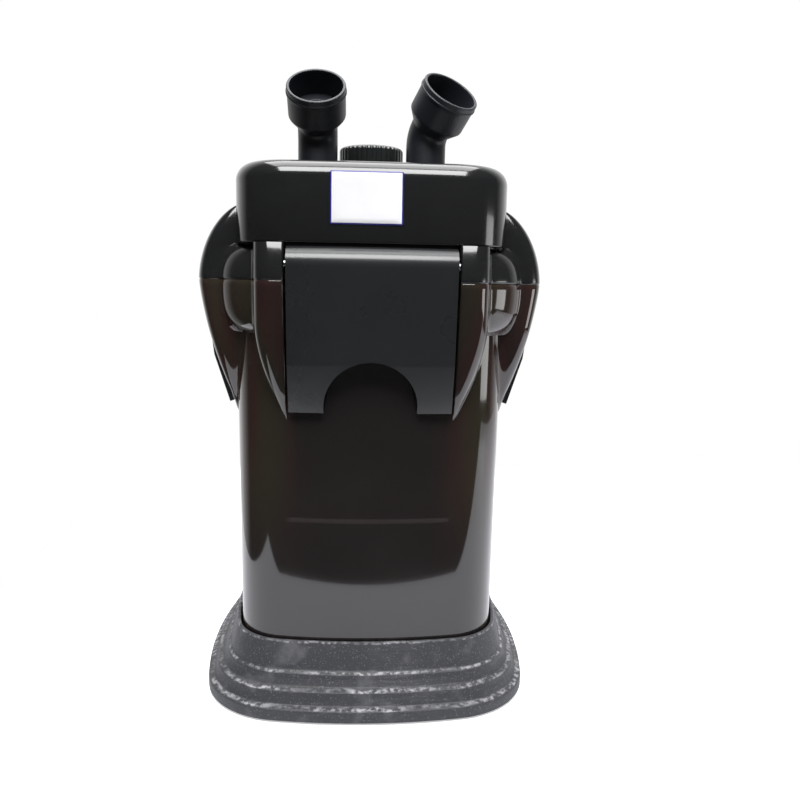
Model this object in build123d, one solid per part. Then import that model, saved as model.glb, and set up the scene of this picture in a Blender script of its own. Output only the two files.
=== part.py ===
from build123d import *
from math import asin, atan2, cos, degrees, hypot, radians, sin, tan
import os

# Canister filter: millimetres, +Z up, origin on the floor at the centre of the footprint, front towards -Y.

# ---- driving dimensions: plan shape shared by the stand, the canister and the collar ----
CORNER_CENTRE = 53.6          # both ways from the axis to the centre of each corner round
SIDE_CENTRE = 263.0           # from the axis back to the centre of each gently bulged side
CAN_HALF_LOW = 93.5           # canister's half width at the underside; the other widths are set out from it
SPLIT_Z = 290.0               # face where the head meets the canister; the other heights are set out from it
WALL = 3.2                    # canister wall
GAP = 0.3                     # clearance between pieces that must not touch
PIN_CLEAR = 0.05              # radial clearance of a running pin

# ---- stand ----
STAND_HALF = CAN_HALF_LOW + 25.0    # half width of the skirt on the floor
STAND_LIFT = 1.5              # skirt's lower edge above the floor
STAND_BAND_TOP = 10.0
STAND_RIDGE_1 = (CAN_HALF_LOW + 14.9, 19.0)
STAND_RIDGE_2 = (CAN_HALF_LOW + 6.4, 28.2)
STAND_TOP = 48.5
STAND_SKIN = 3.6
STAND_FLOOR = 3.0
SEAT_Z = 9.0                  # canister's underside
SEAT_GAP = 1.3                # between the canister and the stand's rim
FOOT_RADIUS = 10.0
FOOT_REACH = CAN_HALF_LOW - 19.5

# ---- canister ----
CAN_DRAFT = 0.0074            # widening per millimetre of height
CAN_BOTTOM_ROUND = 8.0
CAN_FLOOR = 4.0
COLLAR_HALF = CAN_HALF_LOW + 14.5
COLLAR_LOW_Z = SPLIT_Z - 34.0
COLLAR_WIDEST_Z = SPLIT_Z - 10.0
COLLAR_LEDGE = 8.0            # thickness of the ledge that the latches pull on
COLLAR_LEDGE_HALF = CAN_HALF_LOW + 11.5
SEAL_HALF = CAN_HALF_LOW + 4.5
SEAL_SIZE = 3.8

# ---- head ----
HEAD_PLATE = 7.0
HEAD_PLATE_HALF = CAN_HALF_LOW - 7.5
HEAD_RING_INNER = CAN_HALF_LOW - 8.5
COVER_MOUTH_HALF = CAN_HALF_LOW - 9.5
COVER_Z = SPLIT_Z + 23.0      # underside of the cover
COVER_TOP_Z = COVER_Z + 50.0
COVER_CENTRE_X = 50.8
COVER_CENTRE_Y = 71.0
COVER_CORNER = CAN_HALF_LOW - 56.5
COVER_SIDE_X = 1627.0
COVER_SIDE_Y = 865.0
COVER_WALL = 3.0
COVER_ROUND = 11.0
HEAD_SHOULDER_HALF = CAN_HALF_LOW + 3.5    # half width where the collar runs in under the cover

# ---- latches ----
LATCH_HALF = 52.8
HOUSING_REACH = CAN_HALF_LOW + 24.5    # from the axis to the outermost face of a latch housing
HOUSING_HALF = LATCH_HALF + 21.2       # half width over the two cheeks
HOUSING_LOW_Z = SPLIT_Z - 87.0
HOUSING_LOW_HALF = LATCH_HALF + 3.2
HOUSING_TOP_Z = SPLIT_Z + 49.0
HOUSING_BACK = HOUSING_REACH - 38.0    # how far in towards the axis a cheek is built
HOUSING_BULGE = 466.0         # radius of the plan curve of latch and cheeks
LATCH_GAP = 1.5
LATCH_SKIN = 3.0
LATCH_TOP_Z = SPLIT_Z + 21.0
LATCH_FACE_TOP = HOUSING_REACH
LATCH_CREASE = (CAN_HALF_LOW + 16.7, SPLIT_Z - 51.5)
LATCH_FOOT = (CAN_HALF_LOW + 6.3, SPLIT_Z - 84.0)
LATCH_KNUCKLE = 11.0
PIN_REACH = CAN_HALF_LOW + 13.0
PIN_Z = SPLIT_Z + 10.0
PIN_RADIUS = 2.5
PIN_HALF = LATCH_HALF + 9.2
LUG_RADIUS = 5.2
LUG_WIDTH = 8.0
HOOK_TIP = CAN_HALF_LOW + 5.0
HOOK_HALF = 30.0
HOOK_THICK = 5.5
HOOK_GAP = 0.5
SWING_GAP = 1.0               # between a swinging latch's upper edge and the recess behind it
SEAL_FLANGE = 3.5             # head's flange over the seal behind each latch
THUMB_RADIUS = 30.2
THUMB_Z = SPLIT_Z - 80.2

# ---- hose elbows ----
PORT_X = 38.5
PORT_BACK = 35.0              # from the knob's axis forwards to the line of the two necks
NECK_RADIUS = 14.0
NECK_BORE = 10.5
NECK_LOW_Z = SPLIT_Z + 36.0
BEND_Z = COVER_TOP_Z + 30.0
CUP_TILT = 45.0
BEND_RADIUS = 18.0             # centre line of the bend in the neck
CUP_REACH = 38.0              # from the bend to the rim, along the tilted axis
CUP_LENGTH = 22.0
CUP_CONE = 8.0
CUP_RADIUS = 20.0
CUP_BORE = 18.1
CUP_DEPTH = 18.0
CUP_BEAD_Z = 5.0
CUP_BEAD = 0.6
NECK_COLLAR = 2.2
NECK_COLLAR_THICK = 4.0
OUTLET_TURN = 34.0
ORING = 1.5
SOCKET_WALL = 2.6

# ---- priming knob ----
KNOB_RADIUS = 24.0
KNOB_TOP_Z = COVER_TOP_Z + 26.0
KNOB_LOW_Z = COVER_TOP_Z - 12.0
KNOB_WALL = 2.4
KNOB_GAP = 0.6
KNOB_ROUND = 3.0
KNOB_RIBS = 36
KNOB_RIB_RADIUS = 1.1
KNOB_STROKE = 14.0
WELL_WALL = 2.4
STEM_RADIUS = 5.0
PISTON_RADIUS = 15.0
PISTON_THICK = 5.0
PISTON_Z = SPLIT_Z + 40.0
CYLINDER_WALL = 2.5
SPRING_WIRE = 2.0
SPRING_RADIUS = 10.5

# ---- motor and impeller ----
MOTOR_Y = 64.5
MOTOR_GAP = 1.5               # between the motor and the well of the knob
MOTOR_X_HALF = 38.0
MOTOR_Y_HALF = 16.0
MOTOR_TOP_Z = COVER_TOP_Z - 7.0
LEG_WIDTH = 11.0
LEG_DEPTH = 16.0
COIL_WIDTH = 3.0
ROTOR_WELL = 12.5
ROTOR_WELL_TOP = SPLIT_Z + 52.0
MAGNET_RADIUS = 11.0
MAGNET_LOW_Z = SPLIT_Z + 8.0
MAGNET_TOP_Z = SPLIT_Z + 42.0
SHAFT_RADIUS = 1.5
BUSH_RADIUS = 4.0
BUSH_HEIGHT = 5.0
IMPELLER_RADIUS = 18.0
IMPELLER_Y = MOTOR_Y - 2.5
BLADES = 6
BLADE_THICK = 1.8
VOLUTE_Z = SPLIT_Z - 18.0
VOLUTE_WALL = 2.5
VOLUTE_RADIUS = 24.0
VOLUTE_INLET = 9.0
VOLUTE_OUTLET_RADIUS = 17.0

# ---- baskets, media and intake tube ----
BASKET_GAP = 2.0
BASKET_WALL = 2.0
BASKET_FLOOR = 3.0
BASKET_FOOT = 3.0
BASKET_TOP_Z = SPLIT_Z - 45.0
BASKET_SLOTS = 7
BASKET_SLOT_WIDTH = 6.0
TUBE_RADIUS = 13.0
TUBE_BORE = 10.5
TUBE_LOW_Z = 24.0
RING_OUTER = 11.0
RING_BORE = 6.0
RING_HEIGHT = 24.0
FOAM_HEIGHT = 38.0
MEDIA_GAP = 0.3

# ---- fasteners, gland and badge ----
SCREW_RADIUS = 1.9
SCREW_HEAD = 4.0
SCREW_HEAD_HEIGHT = 3.0
SCREW_X = 58.0
SCREW_Y_FRONT = -72.0
SCREW_Y_REAR = 50.0
BOSS_RADIUS = 5.0
GLAND_X = 48.0
GLAND_Z = COVER_Z + 25.0
GLAND_STEM = 6.8
GLAND_HEAD = 9.0
GLAND_END_Y = COVER_CENTRE_Y + COVER_CORNER + 13.0
GLAND_INNER_Y = COVER_CENTRE_Y + COVER_CORNER - 12.0
GLAND_BORE = 3.6
BADGE_X = -4.0
BADGE_Z = COVER_Z + 27.0
BADGE_WIDTH = 44.5
BADGE_HEIGHT = 31.6
BADGE_PROUD = 0.8

KNOB_Y = MOTOR_Y - MOTOR_Y_HALF - MOTOR_GAP - (KNOB_RADIUS + KNOB_GAP + WELL_WALL)
PORT_Y = KNOB_Y - PORT_BACK
BASKET_Z = SEAT_Z + CAN_FLOOR + BASKET_FOOT
BASKET_SPLIT_Z = (BASKET_Z + BASKET_TOP_Z) / 2
NECK_COLLAR_Z = COVER_TOP_Z - COVER_WALL - GAP - NECK_COLLAR_THICK
BODY = (CORNER_CENTRE, CORNER_CENTRE, SIDE_CENTRE, SIDE_CENTRE)
COVER = (COVER_CENTRE_X, COVER_CENTRE_Y, COVER_SIDE_X, COVER_SIDE_Y)


# ---- helpers: outlines and swept rings ----
def reach_x(plan, radius):
    """Half width in X of a plan whose corners have this radius."""
    cx, cy, dx, dy = plan
    return hypot(cx + dx, cy) + radius - dx


def reach_y(plan, radius):
    """Half depth in Y of a plan whose corners have this radius."""
    cx, cy, dx, dy = plan
    return hypot(cx, cy + dy) + radius - dy


def corner_for(half):
    """Corner radius of the body plan whose faces lie this far from the axis."""
    return half - reach_x(BODY, 0.0)


def plan_face(plan, radius):
    """Rounded rectangle with gently bulged sides, every arc tangent to the next."""
    cx, cy, dx, dy = plan
    far_x = hypot(cx + dx, cy)
    far_y = hypot(cx, cy + dy)
    ax = (cx + (cx + dx) / far_x * radius, cy + cy / far_x * radius)
    ay = (cx + cx / far_y * radius, cy + (cy + dy) / far_y * radius)
    ux = (cx + dx) / far_x + cx / far_y
    uy = cy / far_x + (cy + dy) / far_y
    mid = (cx + ux / hypot(ux, uy) * radius, cy + uy / hypot(ux, uy) * radius)
    edges = []
    for sx, sy in ((1, 1), (-1, 1), (-1, -1), (1, -1)):
        start, middle, end = ((sx * p[0], sy * p[1]) for p in (ax, mid, ay))
        edges.append(ThreePointArc(start, middle, end))
    hx = reach_x(plan, radius)
    hy = reach_y(plan, radius)
    for s in (1, -1):
        edges.append(ThreePointArc((s * ax[0], -ax[1]), (s * hx, 0), (s * ax[0], ax[1])))
        edges.append(ThreePointArc((-ay[0], s * ay[1]), (0, s * hy), (ay[0], s * ay[1])))
    return make_face(Curve() + edges)


def slab(plan, radius, low, high):
    """Plan extruded from one height to another."""
    return Pos(0, 0, low) * extrude(plan_face(plan, radius), high - low)


def rounded_outline(points):
    """Closed outline through (a, b, radius) corners, each rounded by its radius."""
    edges = []
    marks = []
    count = len(points)
    for i in range(count):
        p = Vector(points[i][0], points[i][1])
        before = Vector(points[i - 1][0], points[i - 1][1]) - p
        after = Vector(points[(i + 1) % count][0], points[(i + 1) % count][1]) - p
        radius = points[i][2]
        if radius == 0:
            marks.append((p, p, None))
            continue
        half = radians(before.get_angle(after)) / 2
        start = p + before.normalized() * (radius / tan(half))
        end = p + after.normalized() * (radius / tan(half))
        middle = p + (before.normalized() + after.normalized()).normalized() * (radius / sin(half) - radius)
        marks.append((start, end, middle))
    for i in range(count):
        start, end, middle = marks[i]
        if middle is not None:
            edges.append(ThreePointArc(start, middle, end))
        following = marks[(i + 1) % count][0]
        if (following - end).length > 0.001:
            edges.append(Line(end, following))
    return edges


def upright(edges):
    """Face from an outline drawn as (distance, height), stood up in the XZ plane."""
    return Plane.XZ * make_face(Curve() + edges)


def swept_ring(plan, corners):
    """Carries a (half width in X, height, radius) profile round the plan."""
    cx, cy, dx, dy = plan
    base = reach_x(plan, 0.0)
    turn_x = degrees(atan2(cy, cx + dx))
    turn_y = degrees(atan2(cx, cy + dy))
    profile = upright(rounded_outline([(half - base, z, r) for half, z, r in corners]))
    corner = Pos(cx, cy, 0) * Rot(0, 0, turn_x) * profile
    quarter = revolve(corner, Axis((cx, cy, 0), (0, 0, 1)), 90 - turn_x - turn_y)
    side_x = Rot(0, 0, -turn_x) * Pos(hypot(cx + dx, cy), 0, 0) * profile
    bow_x = Pos(-dx, 0, 0) * revolve(side_x, Axis.Z, 2 * turn_x)
    side_y = Rot(0, 0, -turn_y) * Pos(hypot(cx, cy + dy), 0, 0) * profile
    bow_y = Pos(0, -dy, 0) * Rot(0, 0, 90) * revolve(side_y, Axis.Z, 2 * turn_y)
    pieces = [quarter, mirror(quarter, Plane.YZ), mirror(quarter, Plane.XZ), Rot(0, 0, 180) * quarter]
    pieces += [bow_x, Rot(0, 0, 180) * bow_x, bow_y, Rot(0, 0, 180) * bow_y]
    return pieces[0].fuse(*pieces[1:])


def block(x0, x1, y0, y1, z0, z1):
    """Box between two corners."""
    return Pos((x0 + x1) / 2, (y0 + y1) / 2, (z0 + z1) / 2) * Box(x1 - x0, y1 - y0, z1 - z0)


def drum(x, y, low, high, radius):
    """Upright cylinder between two heights."""
    return Pos(x, y, (low + high) / 2) * Cylinder(radius, high - low)


def tube(x, y, low, high, outer, inner):
    """Upright tube between two heights."""
    return drum(x, y, low, high, outer) - drum(x, y, low - 1, high + 1, inner)


def across(reach, z, half, radius):
    """Cylinder across a latch station, along Y."""
    return Pos(reach, 0, z) * Rot(90, 0, 0) * Cylinder(radius, 2 * half)


def can_half(z):
    """Canister's half width at a height."""
    return CAN_HALF_LOW + CAN_DRAFT * (z - SEAT_Z)


def around(shape, count=4):
    """The same shape at each of the latch stations."""
    return [Rot(0, 0, 360 / count * k) * shape for k in range(count)]


def joined(first, others):
    """One shape from several that touch."""
    return first.fuse(*others)


def write(node, shape):
    """One STEP file for one node."""
    solids = shape.solids()
    export_step(Compound(children=list(solids)) if len(solids) > 1 else solids[0], f"parts/{node}.step")


# ---- stand ----
def base_stand():
    pocket = can_half(STAND_TOP) + SEAT_GAP
    band = (STAND_HALF, STAND_BAND_TOP, 2.5)
    r1x, r1z = STAND_RIDGE_1
    r2x, r2z = STAND_RIDGE_2
    top = STAND_TOP
    bead = 1.6
    outer = [
        (STAND_HALF, STAND_LIFT, 1.0), band, (r1x + bead, r1z - bead, 0.6), (r1x + bead, r1z, 0.8),
        (r1x - bead, r1z + bead, 0.5), (r2x + bead, r2z - bead, 0.6), (r2x + bead, r2z, 0.8),
        (r2x - bead, r2z + bead, 1.5), (pocket + 2.2, top, 1.0), (pocket, top, 0.8),
    ]
    under = [
        (pocket, SEAT_Z - STAND_FLOOR, 0), (pocket + STAND_SKIN, SEAT_Z - STAND_FLOOR, 0),
        (pocket + STAND_SKIN, r1z - 1.5, 0), (STAND_HALF - STAND_SKIN, STAND_BAND_TOP - STAND_SKIN, 0),
        (STAND_HALF - STAND_SKIN, STAND_LIFT, 0),
    ]
    floor = slab(BODY, corner_for(pocket + 1), SEAT_Z - STAND_FLOOR, SEAT_Z)
    return swept_ring(BODY, outer + under) + floor


def base_feet():
    pads = [drum(x, y, 0, SEAT_Z - STAND_FLOOR, FOOT_RADIUS) for x in (-FOOT_REACH, FOOT_REACH)
            for y in (-FOOT_REACH, FOOT_REACH)]
    return Compound(children=pads)


# ---- latch housings, built at the +X side ----
def housing_plan():
    """Bulged plan of a housing: gently curved face, rounded back at both cheeks."""
    half = HOUSING_HALF
    turn = half - 14.0
    face = HOUSING_REACH - HOUSING_BULGE + (HOUSING_BULGE**2 - turn**2) ** 0.5
    back = HOUSING_BACK - 10.0
    edges = [ThreePointArc((face, -turn), (HOUSING_REACH, 0), (face, turn))]
    for s in (1, -1):
        edges.append(ThreePointArc((face, s * turn), (face - 4.5, s * (half - 4.0)), (face - 15.0, s * half)))
        edges.append(Line((face - 15.0, s * half), (back, s * half)))
    edges.append(Line((back, half), (back, -half)))
    return make_face(Curve() + edges)


def housing_front():
    """Shield outline seen square on, drawn as (sideways, height)."""
    half = HOUSING_HALF
    low = HOUSING_LOW_HALF
    top = HOUSING_TOP_Z + 1
    edges = [Line((-low, HOUSING_LOW_Z), (low, HOUSING_LOW_Z)), Line((half, top), (-half, top))]
    for s in (1, -1):
        widest = (s * half, SPLIT_Z - 28)
        edges.append(ThreePointArc((s * low, HOUSING_LOW_Z), (s * (half - 5.0), SPLIT_Z - 55), widest))
        edges.append(Line(widest, (s * half, top)))
    return Plane.YZ * make_face(Curve() + edges)


def housing():
    """Whole housing as one block, from its side profile, front outline and plan."""
    reach = HOUSING_REACH
    inner = HOUSING_BACK
    foot = (reach - 22.5, HOUSING_LOW_Z)
    swell = (reach - 17, SPLIT_Z - 56)
    crown = (reach - 31, HOUSING_TOP_Z)
    edges = [
        Line(foot, swell),
        ThreePointArc(swell, (reach - 7, SPLIT_Z - 35), (reach, SPLIT_Z)),
        ThreePointArc((reach, SPLIT_Z), (reach - 4.5, SPLIT_Z + 21), crown),
        Line(crown, (inner, HOUSING_TOP_Z)),
        Line((inner, HOUSING_TOP_Z), (inner, HOUSING_LOW_Z)),
        Line((inner, HOUSING_LOW_Z), foot),
    ]
    side = Pos(0, HOUSING_HALF + 1, 0) * extrude(upright(edges), 2 * HOUSING_HALF + 2)
    front = Pos(HOUSING_BACK - 20, 0, 0) * extrude(housing_front(), reach - HOUSING_BACK + 38)
    plan = Pos(0, 0, HOUSING_LOW_Z - 1) * extrude(housing_plan(), HOUSING_TOP_Z - HOUSING_LOW_Z + 4)
    return side & front & plan


def cheeks(low, high):
    """The two cheeks of a housing between two heights."""
    recess = LATCH_HALF + LATCH_GAP
    x0 = HOUSING_BACK - 20
    x1 = HOUSING_REACH + 18
    wide = HOUSING_HALF + 16
    band = block(x0, x1, -wide, wide, low, high) - block(x0, x1, -recess, recess, low - 1, high + 1)
    return housing() & band


# ---- canister ----
def canister():
    top = SPLIT_Z
    foot = can_half(SEAT_Z)
    inside = SEAT_Z + CAN_FLOOR
    shell = swept_ring(BODY, [
        (foot, SEAT_Z, CAN_BOTTOM_ROUND), (can_half(top), top, 0), (can_half(top) - WALL, top, 0),
        (foot - WALL, inside, CAN_BOTTOM_ROUND - WALL), (foot / 1.5, inside, 0), (foot / 1.5, SEAT_Z, 0)])
    floor = slab(BODY, corner_for(foot / 1.5 + 1), SEAT_Z, inside)
    inset = can_half(top) - 1.5
    collar = swept_ring(BODY, [(inset, COLLAR_LOW_Z, 0), (COLLAR_HALF - 8, COLLAR_LOW_Z, 5.0),
                               (COLLAR_HALF, COLLAR_WIDEST_Z, 20.0), (COLLAR_HALF, top, 0), (inset, top, 0)])
    recess = LATCH_HALF + LATCH_GAP
    clear = HOUSING_REACH + 18
    below = block(HOUSING_BACK, clear, -recess, recess, COLLAR_LOW_Z - 1, top - COLLAR_LEDGE)
    beyond = block(COLLAR_LEDGE_HALF, clear, -recess, recess, COLLAR_LOW_Z - 1, top + 1)
    collar = collar.cut(*around(below), *around(beyond))
    core = slab(BODY, corner_for(can_half(HOUSING_LOW_Z) - WALL / 2), HOUSING_LOW_Z - 1, top + 1)
    ears = cheeks(HOUSING_LOW_Z, top).cut(core)
    body = joined(shell, [floor, collar] + around(ears))
    groove = swept_ring(BODY, [(SEAL_HALF, top - SEAL_SIZE, 0), (SEAL_HALF + SEAL_SIZE, top - SEAL_SIZE, 0),
                               (SEAL_HALF + SEAL_SIZE, top + 1, 0), (SEAL_HALF, top + 1, 0)])
    return body.cut(groove)


def canister_seal():
    side = 0.1
    return swept_ring(BODY, [(SEAL_HALF + side, SPLIT_Z - SEAL_SIZE, 0),
                             (SEAL_HALF + SEAL_SIZE - side, SPLIT_Z - SEAL_SIZE, 0),
                             (SEAL_HALF + SEAL_SIZE - side, SPLIT_Z, 0), (SEAL_HALF + side, SPLIT_Z, 0)])


# ---- head ----
def port_places():
    """Axis of the intake and of the outlet."""
    return ((-PORT_X, PORT_Y), (PORT_X, PORT_Y))


def screw_places():
    """Screws that hold the cover, from below."""
    return [(x, y) for x in (-SCREW_X, SCREW_X) for y in (SCREW_Y_FRONT, SCREW_Y_REAR)]


def pump_head():
    low = SPLIT_Z
    inner = HEAD_RING_INNER
    shoulder = [(inner, low, 0), (COLLAR_HALF, low, 0), (COLLAR_HALF, COVER_Z - 2, 14.0),
                (HEAD_SHOULDER_HALF, COVER_Z - 2, 0), (HEAD_SHOULDER_HALF, COVER_Z, 0), (inner, COVER_Z, 0)]
    ring = swept_ring(BODY, shoulder)
    plate = slab(BODY, corner_for(HEAD_PLATE_HALF), low, low + HEAD_PLATE)
    spigot_out = can_half(low) - WALL - 2 * GAP
    spigot = swept_ring(BODY, [(spigot_out - 3, low - 9, 0), (spigot_out, low - 9, 1.0),
                               (spigot_out, low + 1, 0), (spigot_out - 3, low + 1, 0)])
    recess = LATCH_HALF + LATCH_GAP
    clear = HOUSING_REACH + 18
    back = PIN_REACH - (LATCH_TOP_Z - PIN_Z) - SWING_GAP
    pocket = block(back, clear, -recess, recess, low + SEAL_FLANGE, COVER_Z + 1)
    beyond = block(COLLAR_LEDGE_HALF - 1, clear, -recess, recess, low - 1, low + SEAL_FLANGE + 1)
    ring = ring.cut(*around(pocket), *around(beyond))
    wide = HOUSING_HALF + 16
    low_ears = cheeks(low, COVER_Z) & block(HEAD_RING_INNER + 3, clear, -wide, wide, low, COVER_Z)
    tall_ears = cheeks(COVER_Z - 1, HOUSING_TOP_Z)
    tall_ears = tall_ears.cut(slab(COVER, COVER_CORNER + GAP, COVER_Z - 2, COVER_TOP_Z))
    body = joined(ring, [plate, spigot] + around(low_ears) + [tall_ears, Rot(0, 0, 180) * tall_ears])
    cuts = around(across(PIN_REACH, PIN_Z, PIN_HALF + 0.5, PIN_RADIUS + PIN_CLEAR))
    for x, y in port_places():
        cuts.append(drum(x, y, low - 10, low + HEAD_PLATE + 1, TUBE_RADIUS + GAP))
    cuts.append(drum(0, IMPELLER_Y, low - 10, low + HEAD_PLATE + 1, ROTOR_WELL))
    for x, y in screw_places():
        cuts.append(drum(x, y, low - 1, low + HEAD_PLATE + 1, SCREW_RADIUS + GAP))
        cuts.append(drum(x, y, low - 1, low + SCREW_HEAD_HEIGHT + GAP, SCREW_HEAD + GAP))
    return body.cut(*cuts)


def head_cover():
    outer = slab(COVER, COVER_CORNER, COVER_Z, COVER_TOP_Z)
    outer = fillet(outer.edges().group_by(Axis.Z)[-1], COVER_ROUND)
    outer = fillet(outer.edges().group_by(Axis.Z)[0], 1.2)
    cavity = slab(COVER, COVER_CORNER - COVER_WALL, COVER_Z + COVER_WALL, COVER_TOP_Z - COVER_WALL)
    cavity = fillet(cavity.edges().group_by(Axis.Z)[-1], COVER_ROUND - COVER_WALL)
    mouth = slab(BODY, corner_for(COVER_MOUTH_HALF), COVER_Z - 1, COVER_Z + COVER_WALL + 1)
    shell = outer.cut(cavity, mouth)
    ceiling = COVER_TOP_Z - COVER_WALL
    well = KNOB_RADIUS + KNOB_GAP
    well_low = KNOB_LOW_Z - KNOB_STROKE - 2
    adds = [tube(0, KNOB_Y, well_low, ceiling + 1, well + WELL_WALL, well)]
    for x, y in screw_places():
        adds.append(tube(x, y, SPLIT_Z + HEAD_PLATE, ceiling + 1, BOSS_RADIUS, SCREW_RADIUS))
    for x, y in port_places():
        rim = tube(x, y, COVER_TOP_Z - 1, COVER_TOP_Z + 1.6, NECK_RADIUS + 3.4, NECK_RADIUS + GAP)
        adds.append(rim)
    shell = joined(shell, adds)
    cuts = [drum(0, KNOB_Y, well_low - 1, COVER_TOP_Z + 5, well)]
    for x, y in port_places():
        cuts.append(drum(x, y, COVER_Z, COVER_TOP_Z + 5, NECK_RADIUS + GAP))
    gland = Pos(GLAND_X, GLAND_INNER_Y + 4, GLAND_Z) * Rot(90, 0, 0) * Cylinder(GLAND_STEM + PIN_CLEAR, 60)
    cuts.append(gland)
    return shell.cut(*cuts)


def name_plate(cover):
    front = -reach_y(COVER, COVER_CORNER)
    plate = block(BADGE_X - BADGE_WIDTH / 2, BADGE_X + BADGE_WIDTH / 2, front - BADGE_PROUD, front + 2.0,
                  BADGE_Z - BADGE_HEIGHT / 2, BADGE_Z + BADGE_HEIGHT / 2)
    plate = fillet(plate.edges().filter_by(Axis.Y), 1.0)
    return plate.cut(slab(COVER, COVER_CORNER, COVER_Z, COVER_TOP_Z))


def cover_screws():
    low = SPLIT_Z + GAP
    screws = []
    for x, y in screw_places():
        screw = drum(x, y, low, low + SCREW_HEAD_HEIGHT, SCREW_HEAD)
        screws.append(screw + drum(x, y, low, SPLIT_Z + HEAD_PLATE + 14, SCREW_RADIUS))
    return Compound(children=screws)


# ---- latch ----
def offset_corners(points, distance):
    """Corners of an open path moved sideways, square to its runs, to the right of its direction."""
    moved = []
    for i in range(len(points)):
        normals = []
        for a, b in ((i - 1, i), (i, i + 1)):
            if a >= 0 and b < len(points):
                run = (points[b] - points[a]).normalized()
                normals.append(Vector(run.Y, -run.X))
        if len(normals) == 1:
            moved.append(points[i] + normals[0] * distance)
        else:
            bisector = (normals[0] + normals[1]).normalized()
            moved.append(points[i] + bisector * (distance / bisector.dot(normals[0])))
    return moved


def latch():
    crease = Vector(*LATCH_CREASE)
    knee = Vector(LATCH_FACE_TOP, PIN_Z)
    slope = (knee.X - crease.X) / (knee.Y - crease.Y)
    corner = Vector(crease.X + slope * (LATCH_TOP_Z - crease.Y), LATCH_TOP_Z)
    back = Vector(PIN_REACH - 1.0, LATCH_TOP_Z)
    path = [back, corner, crease, Vector(*LATCH_FOOT)]
    inner = offset_corners(path, LATCH_SKIN)
    radii = (0, LATCH_KNUCKLE, 4.0, 0)
    inner_radii = (0, LATCH_KNUCKLE - LATCH_SKIN, 4.0, 0)
    outline = [(p.X, p.Y, r) for p, r in zip(path, radii)]
    outline += [(p.X, p.Y, r) for p, r in reversed(list(zip(inner, inner_radii)))]
    section = upright(rounded_outline(outline))
    centre = HOUSING_REACH - HOUSING_BULGE
    spread = degrees(asin(LATCH_HALF / HOUSING_BULGE)) + 1
    skin = Pos(centre, 0, 0) * revolve(Rot(0, 0, -spread) * Pos(-centre, 0, 0) * section, Axis.Z, 2 * spread)
    skin = skin & block(HOUSING_BACK - 20, HOUSING_REACH + 38, -LATCH_HALF, LATCH_HALF,
                        LATCH_FOOT[1] - 20, LATCH_TOP_Z + 20)
    adds = []
    for y in (-LATCH_HALF + LUG_WIDTH, 0, LATCH_HALF - LUG_WIDTH):
        lug = Pos(0, y, 0) * across(PIN_REACH, PIN_Z, LUG_WIDTH / 2, LUG_RADIUS)
        web = block(PIN_REACH, PIN_REACH + 7.6, y - LUG_WIDTH / 2, y + LUG_WIDTH / 2,
                    PIN_Z - LUG_RADIUS, PIN_Z + LUG_RADIUS)
        adds += [lug, web]
    hook_top = SPLIT_Z - COLLAR_LEDGE - HOOK_GAP
    hook = block(HOOK_TIP, HOUSING_REACH - 5.0, -HOOK_HALF, HOOK_HALF, hook_top - HOOK_THICK, hook_top)
    adds.append(hook)
    body = joined(skin, adds)
    bore = across(PIN_REACH, PIN_Z, LATCH_HALF + 5, PIN_RADIUS + PIN_CLEAR)
    thumb = Pos(PIN_REACH, 0, THUMB_Z) * Rot(0, 90, 0) * Cylinder(THUMB_RADIUS, 60)
    slot = block(PIN_REACH - 30, PIN_REACH + 30, -THUMB_RADIUS, THUMB_RADIUS, THUMB_Z - 30, THUMB_Z)
    return body.cut(bore, thumb, slot)


def latch_pins():
    return Compound(children=around(across(PIN_REACH, PIN_Z, PIN_HALF, PIN_RADIUS)))


# ---- hose elbows ----
def bent_rod(radius, low, run):
    """Round rod up the neck, through the bend and on along the tilted axis."""
    lead = BEND_RADIUS * tan(radians(CUP_TILT / 2))
    start = BEND_Z - lead
    disc = Pos(0, 0, start) * Circle(radius)
    bend = revolve(disc, Axis((0, -BEND_RADIUS, start), (1, 0, 0)), CUP_TILT)
    straight = Pos(0, 0, lead) * extrude(Circle(radius), run - lead)
    return joined(drum(0, 0, low, start, radius), [bend, Pos(0, 0, BEND_Z) * Rot(CUP_TILT, 0, 0) * straight])


def elbow(x, y, turn):
    """Neck in its socket, tilted cup above; the cup leans to the front at turn 0."""
    axis = Pos(0, 0, BEND_Z) * Rot(CUP_TILT, 0, 0)
    cone_end = CUP_REACH - CUP_LENGTH
    cone_start = cone_end - CUP_CONE
    collar = drum(0, 0, NECK_COLLAR_Z, NECK_COLLAR_Z + NECK_COLLAR_THICK, NECK_RADIUS + NECK_COLLAR)
    bead = CUP_RADIUS + CUP_BEAD
    cup = upright(rounded_outline([
        (0, cone_start, 0), (NECK_RADIUS, cone_start, 0), (CUP_RADIUS, cone_end, 2.0),
        (CUP_RADIUS, CUP_REACH - CUP_BEAD_Z, 0), (bead, CUP_REACH - CUP_BEAD_Z, 0),
        (bead, CUP_REACH, 0.5), (0, CUP_REACH, 0)]))
    solid = joined(bent_rod(NECK_RADIUS, NECK_LOW_Z, cone_start), [collar, axis * revolve(cup, Axis.Z, 360)])
    seat = CUP_REACH - CUP_DEPTH
    cup_bore = axis * Pos(0, 0, seat) * extrude(Circle(CUP_BORE), CUP_DEPTH + 2)
    groove_low = NECK_LOW_Z + 5
    groove = tube(0, 0, groove_low, groove_low + 2 * ORING + 0.2, NECK_RADIUS + 2, NECK_RADIUS - ORING)
    cuts = [cup_bore, bent_rod(NECK_BORE, NECK_LOW_Z - 1, seat + 1), groove]
    return Pos(x, y, 0) * Rot(0, 0, turn) * solid.cut(*cuts)


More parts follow.
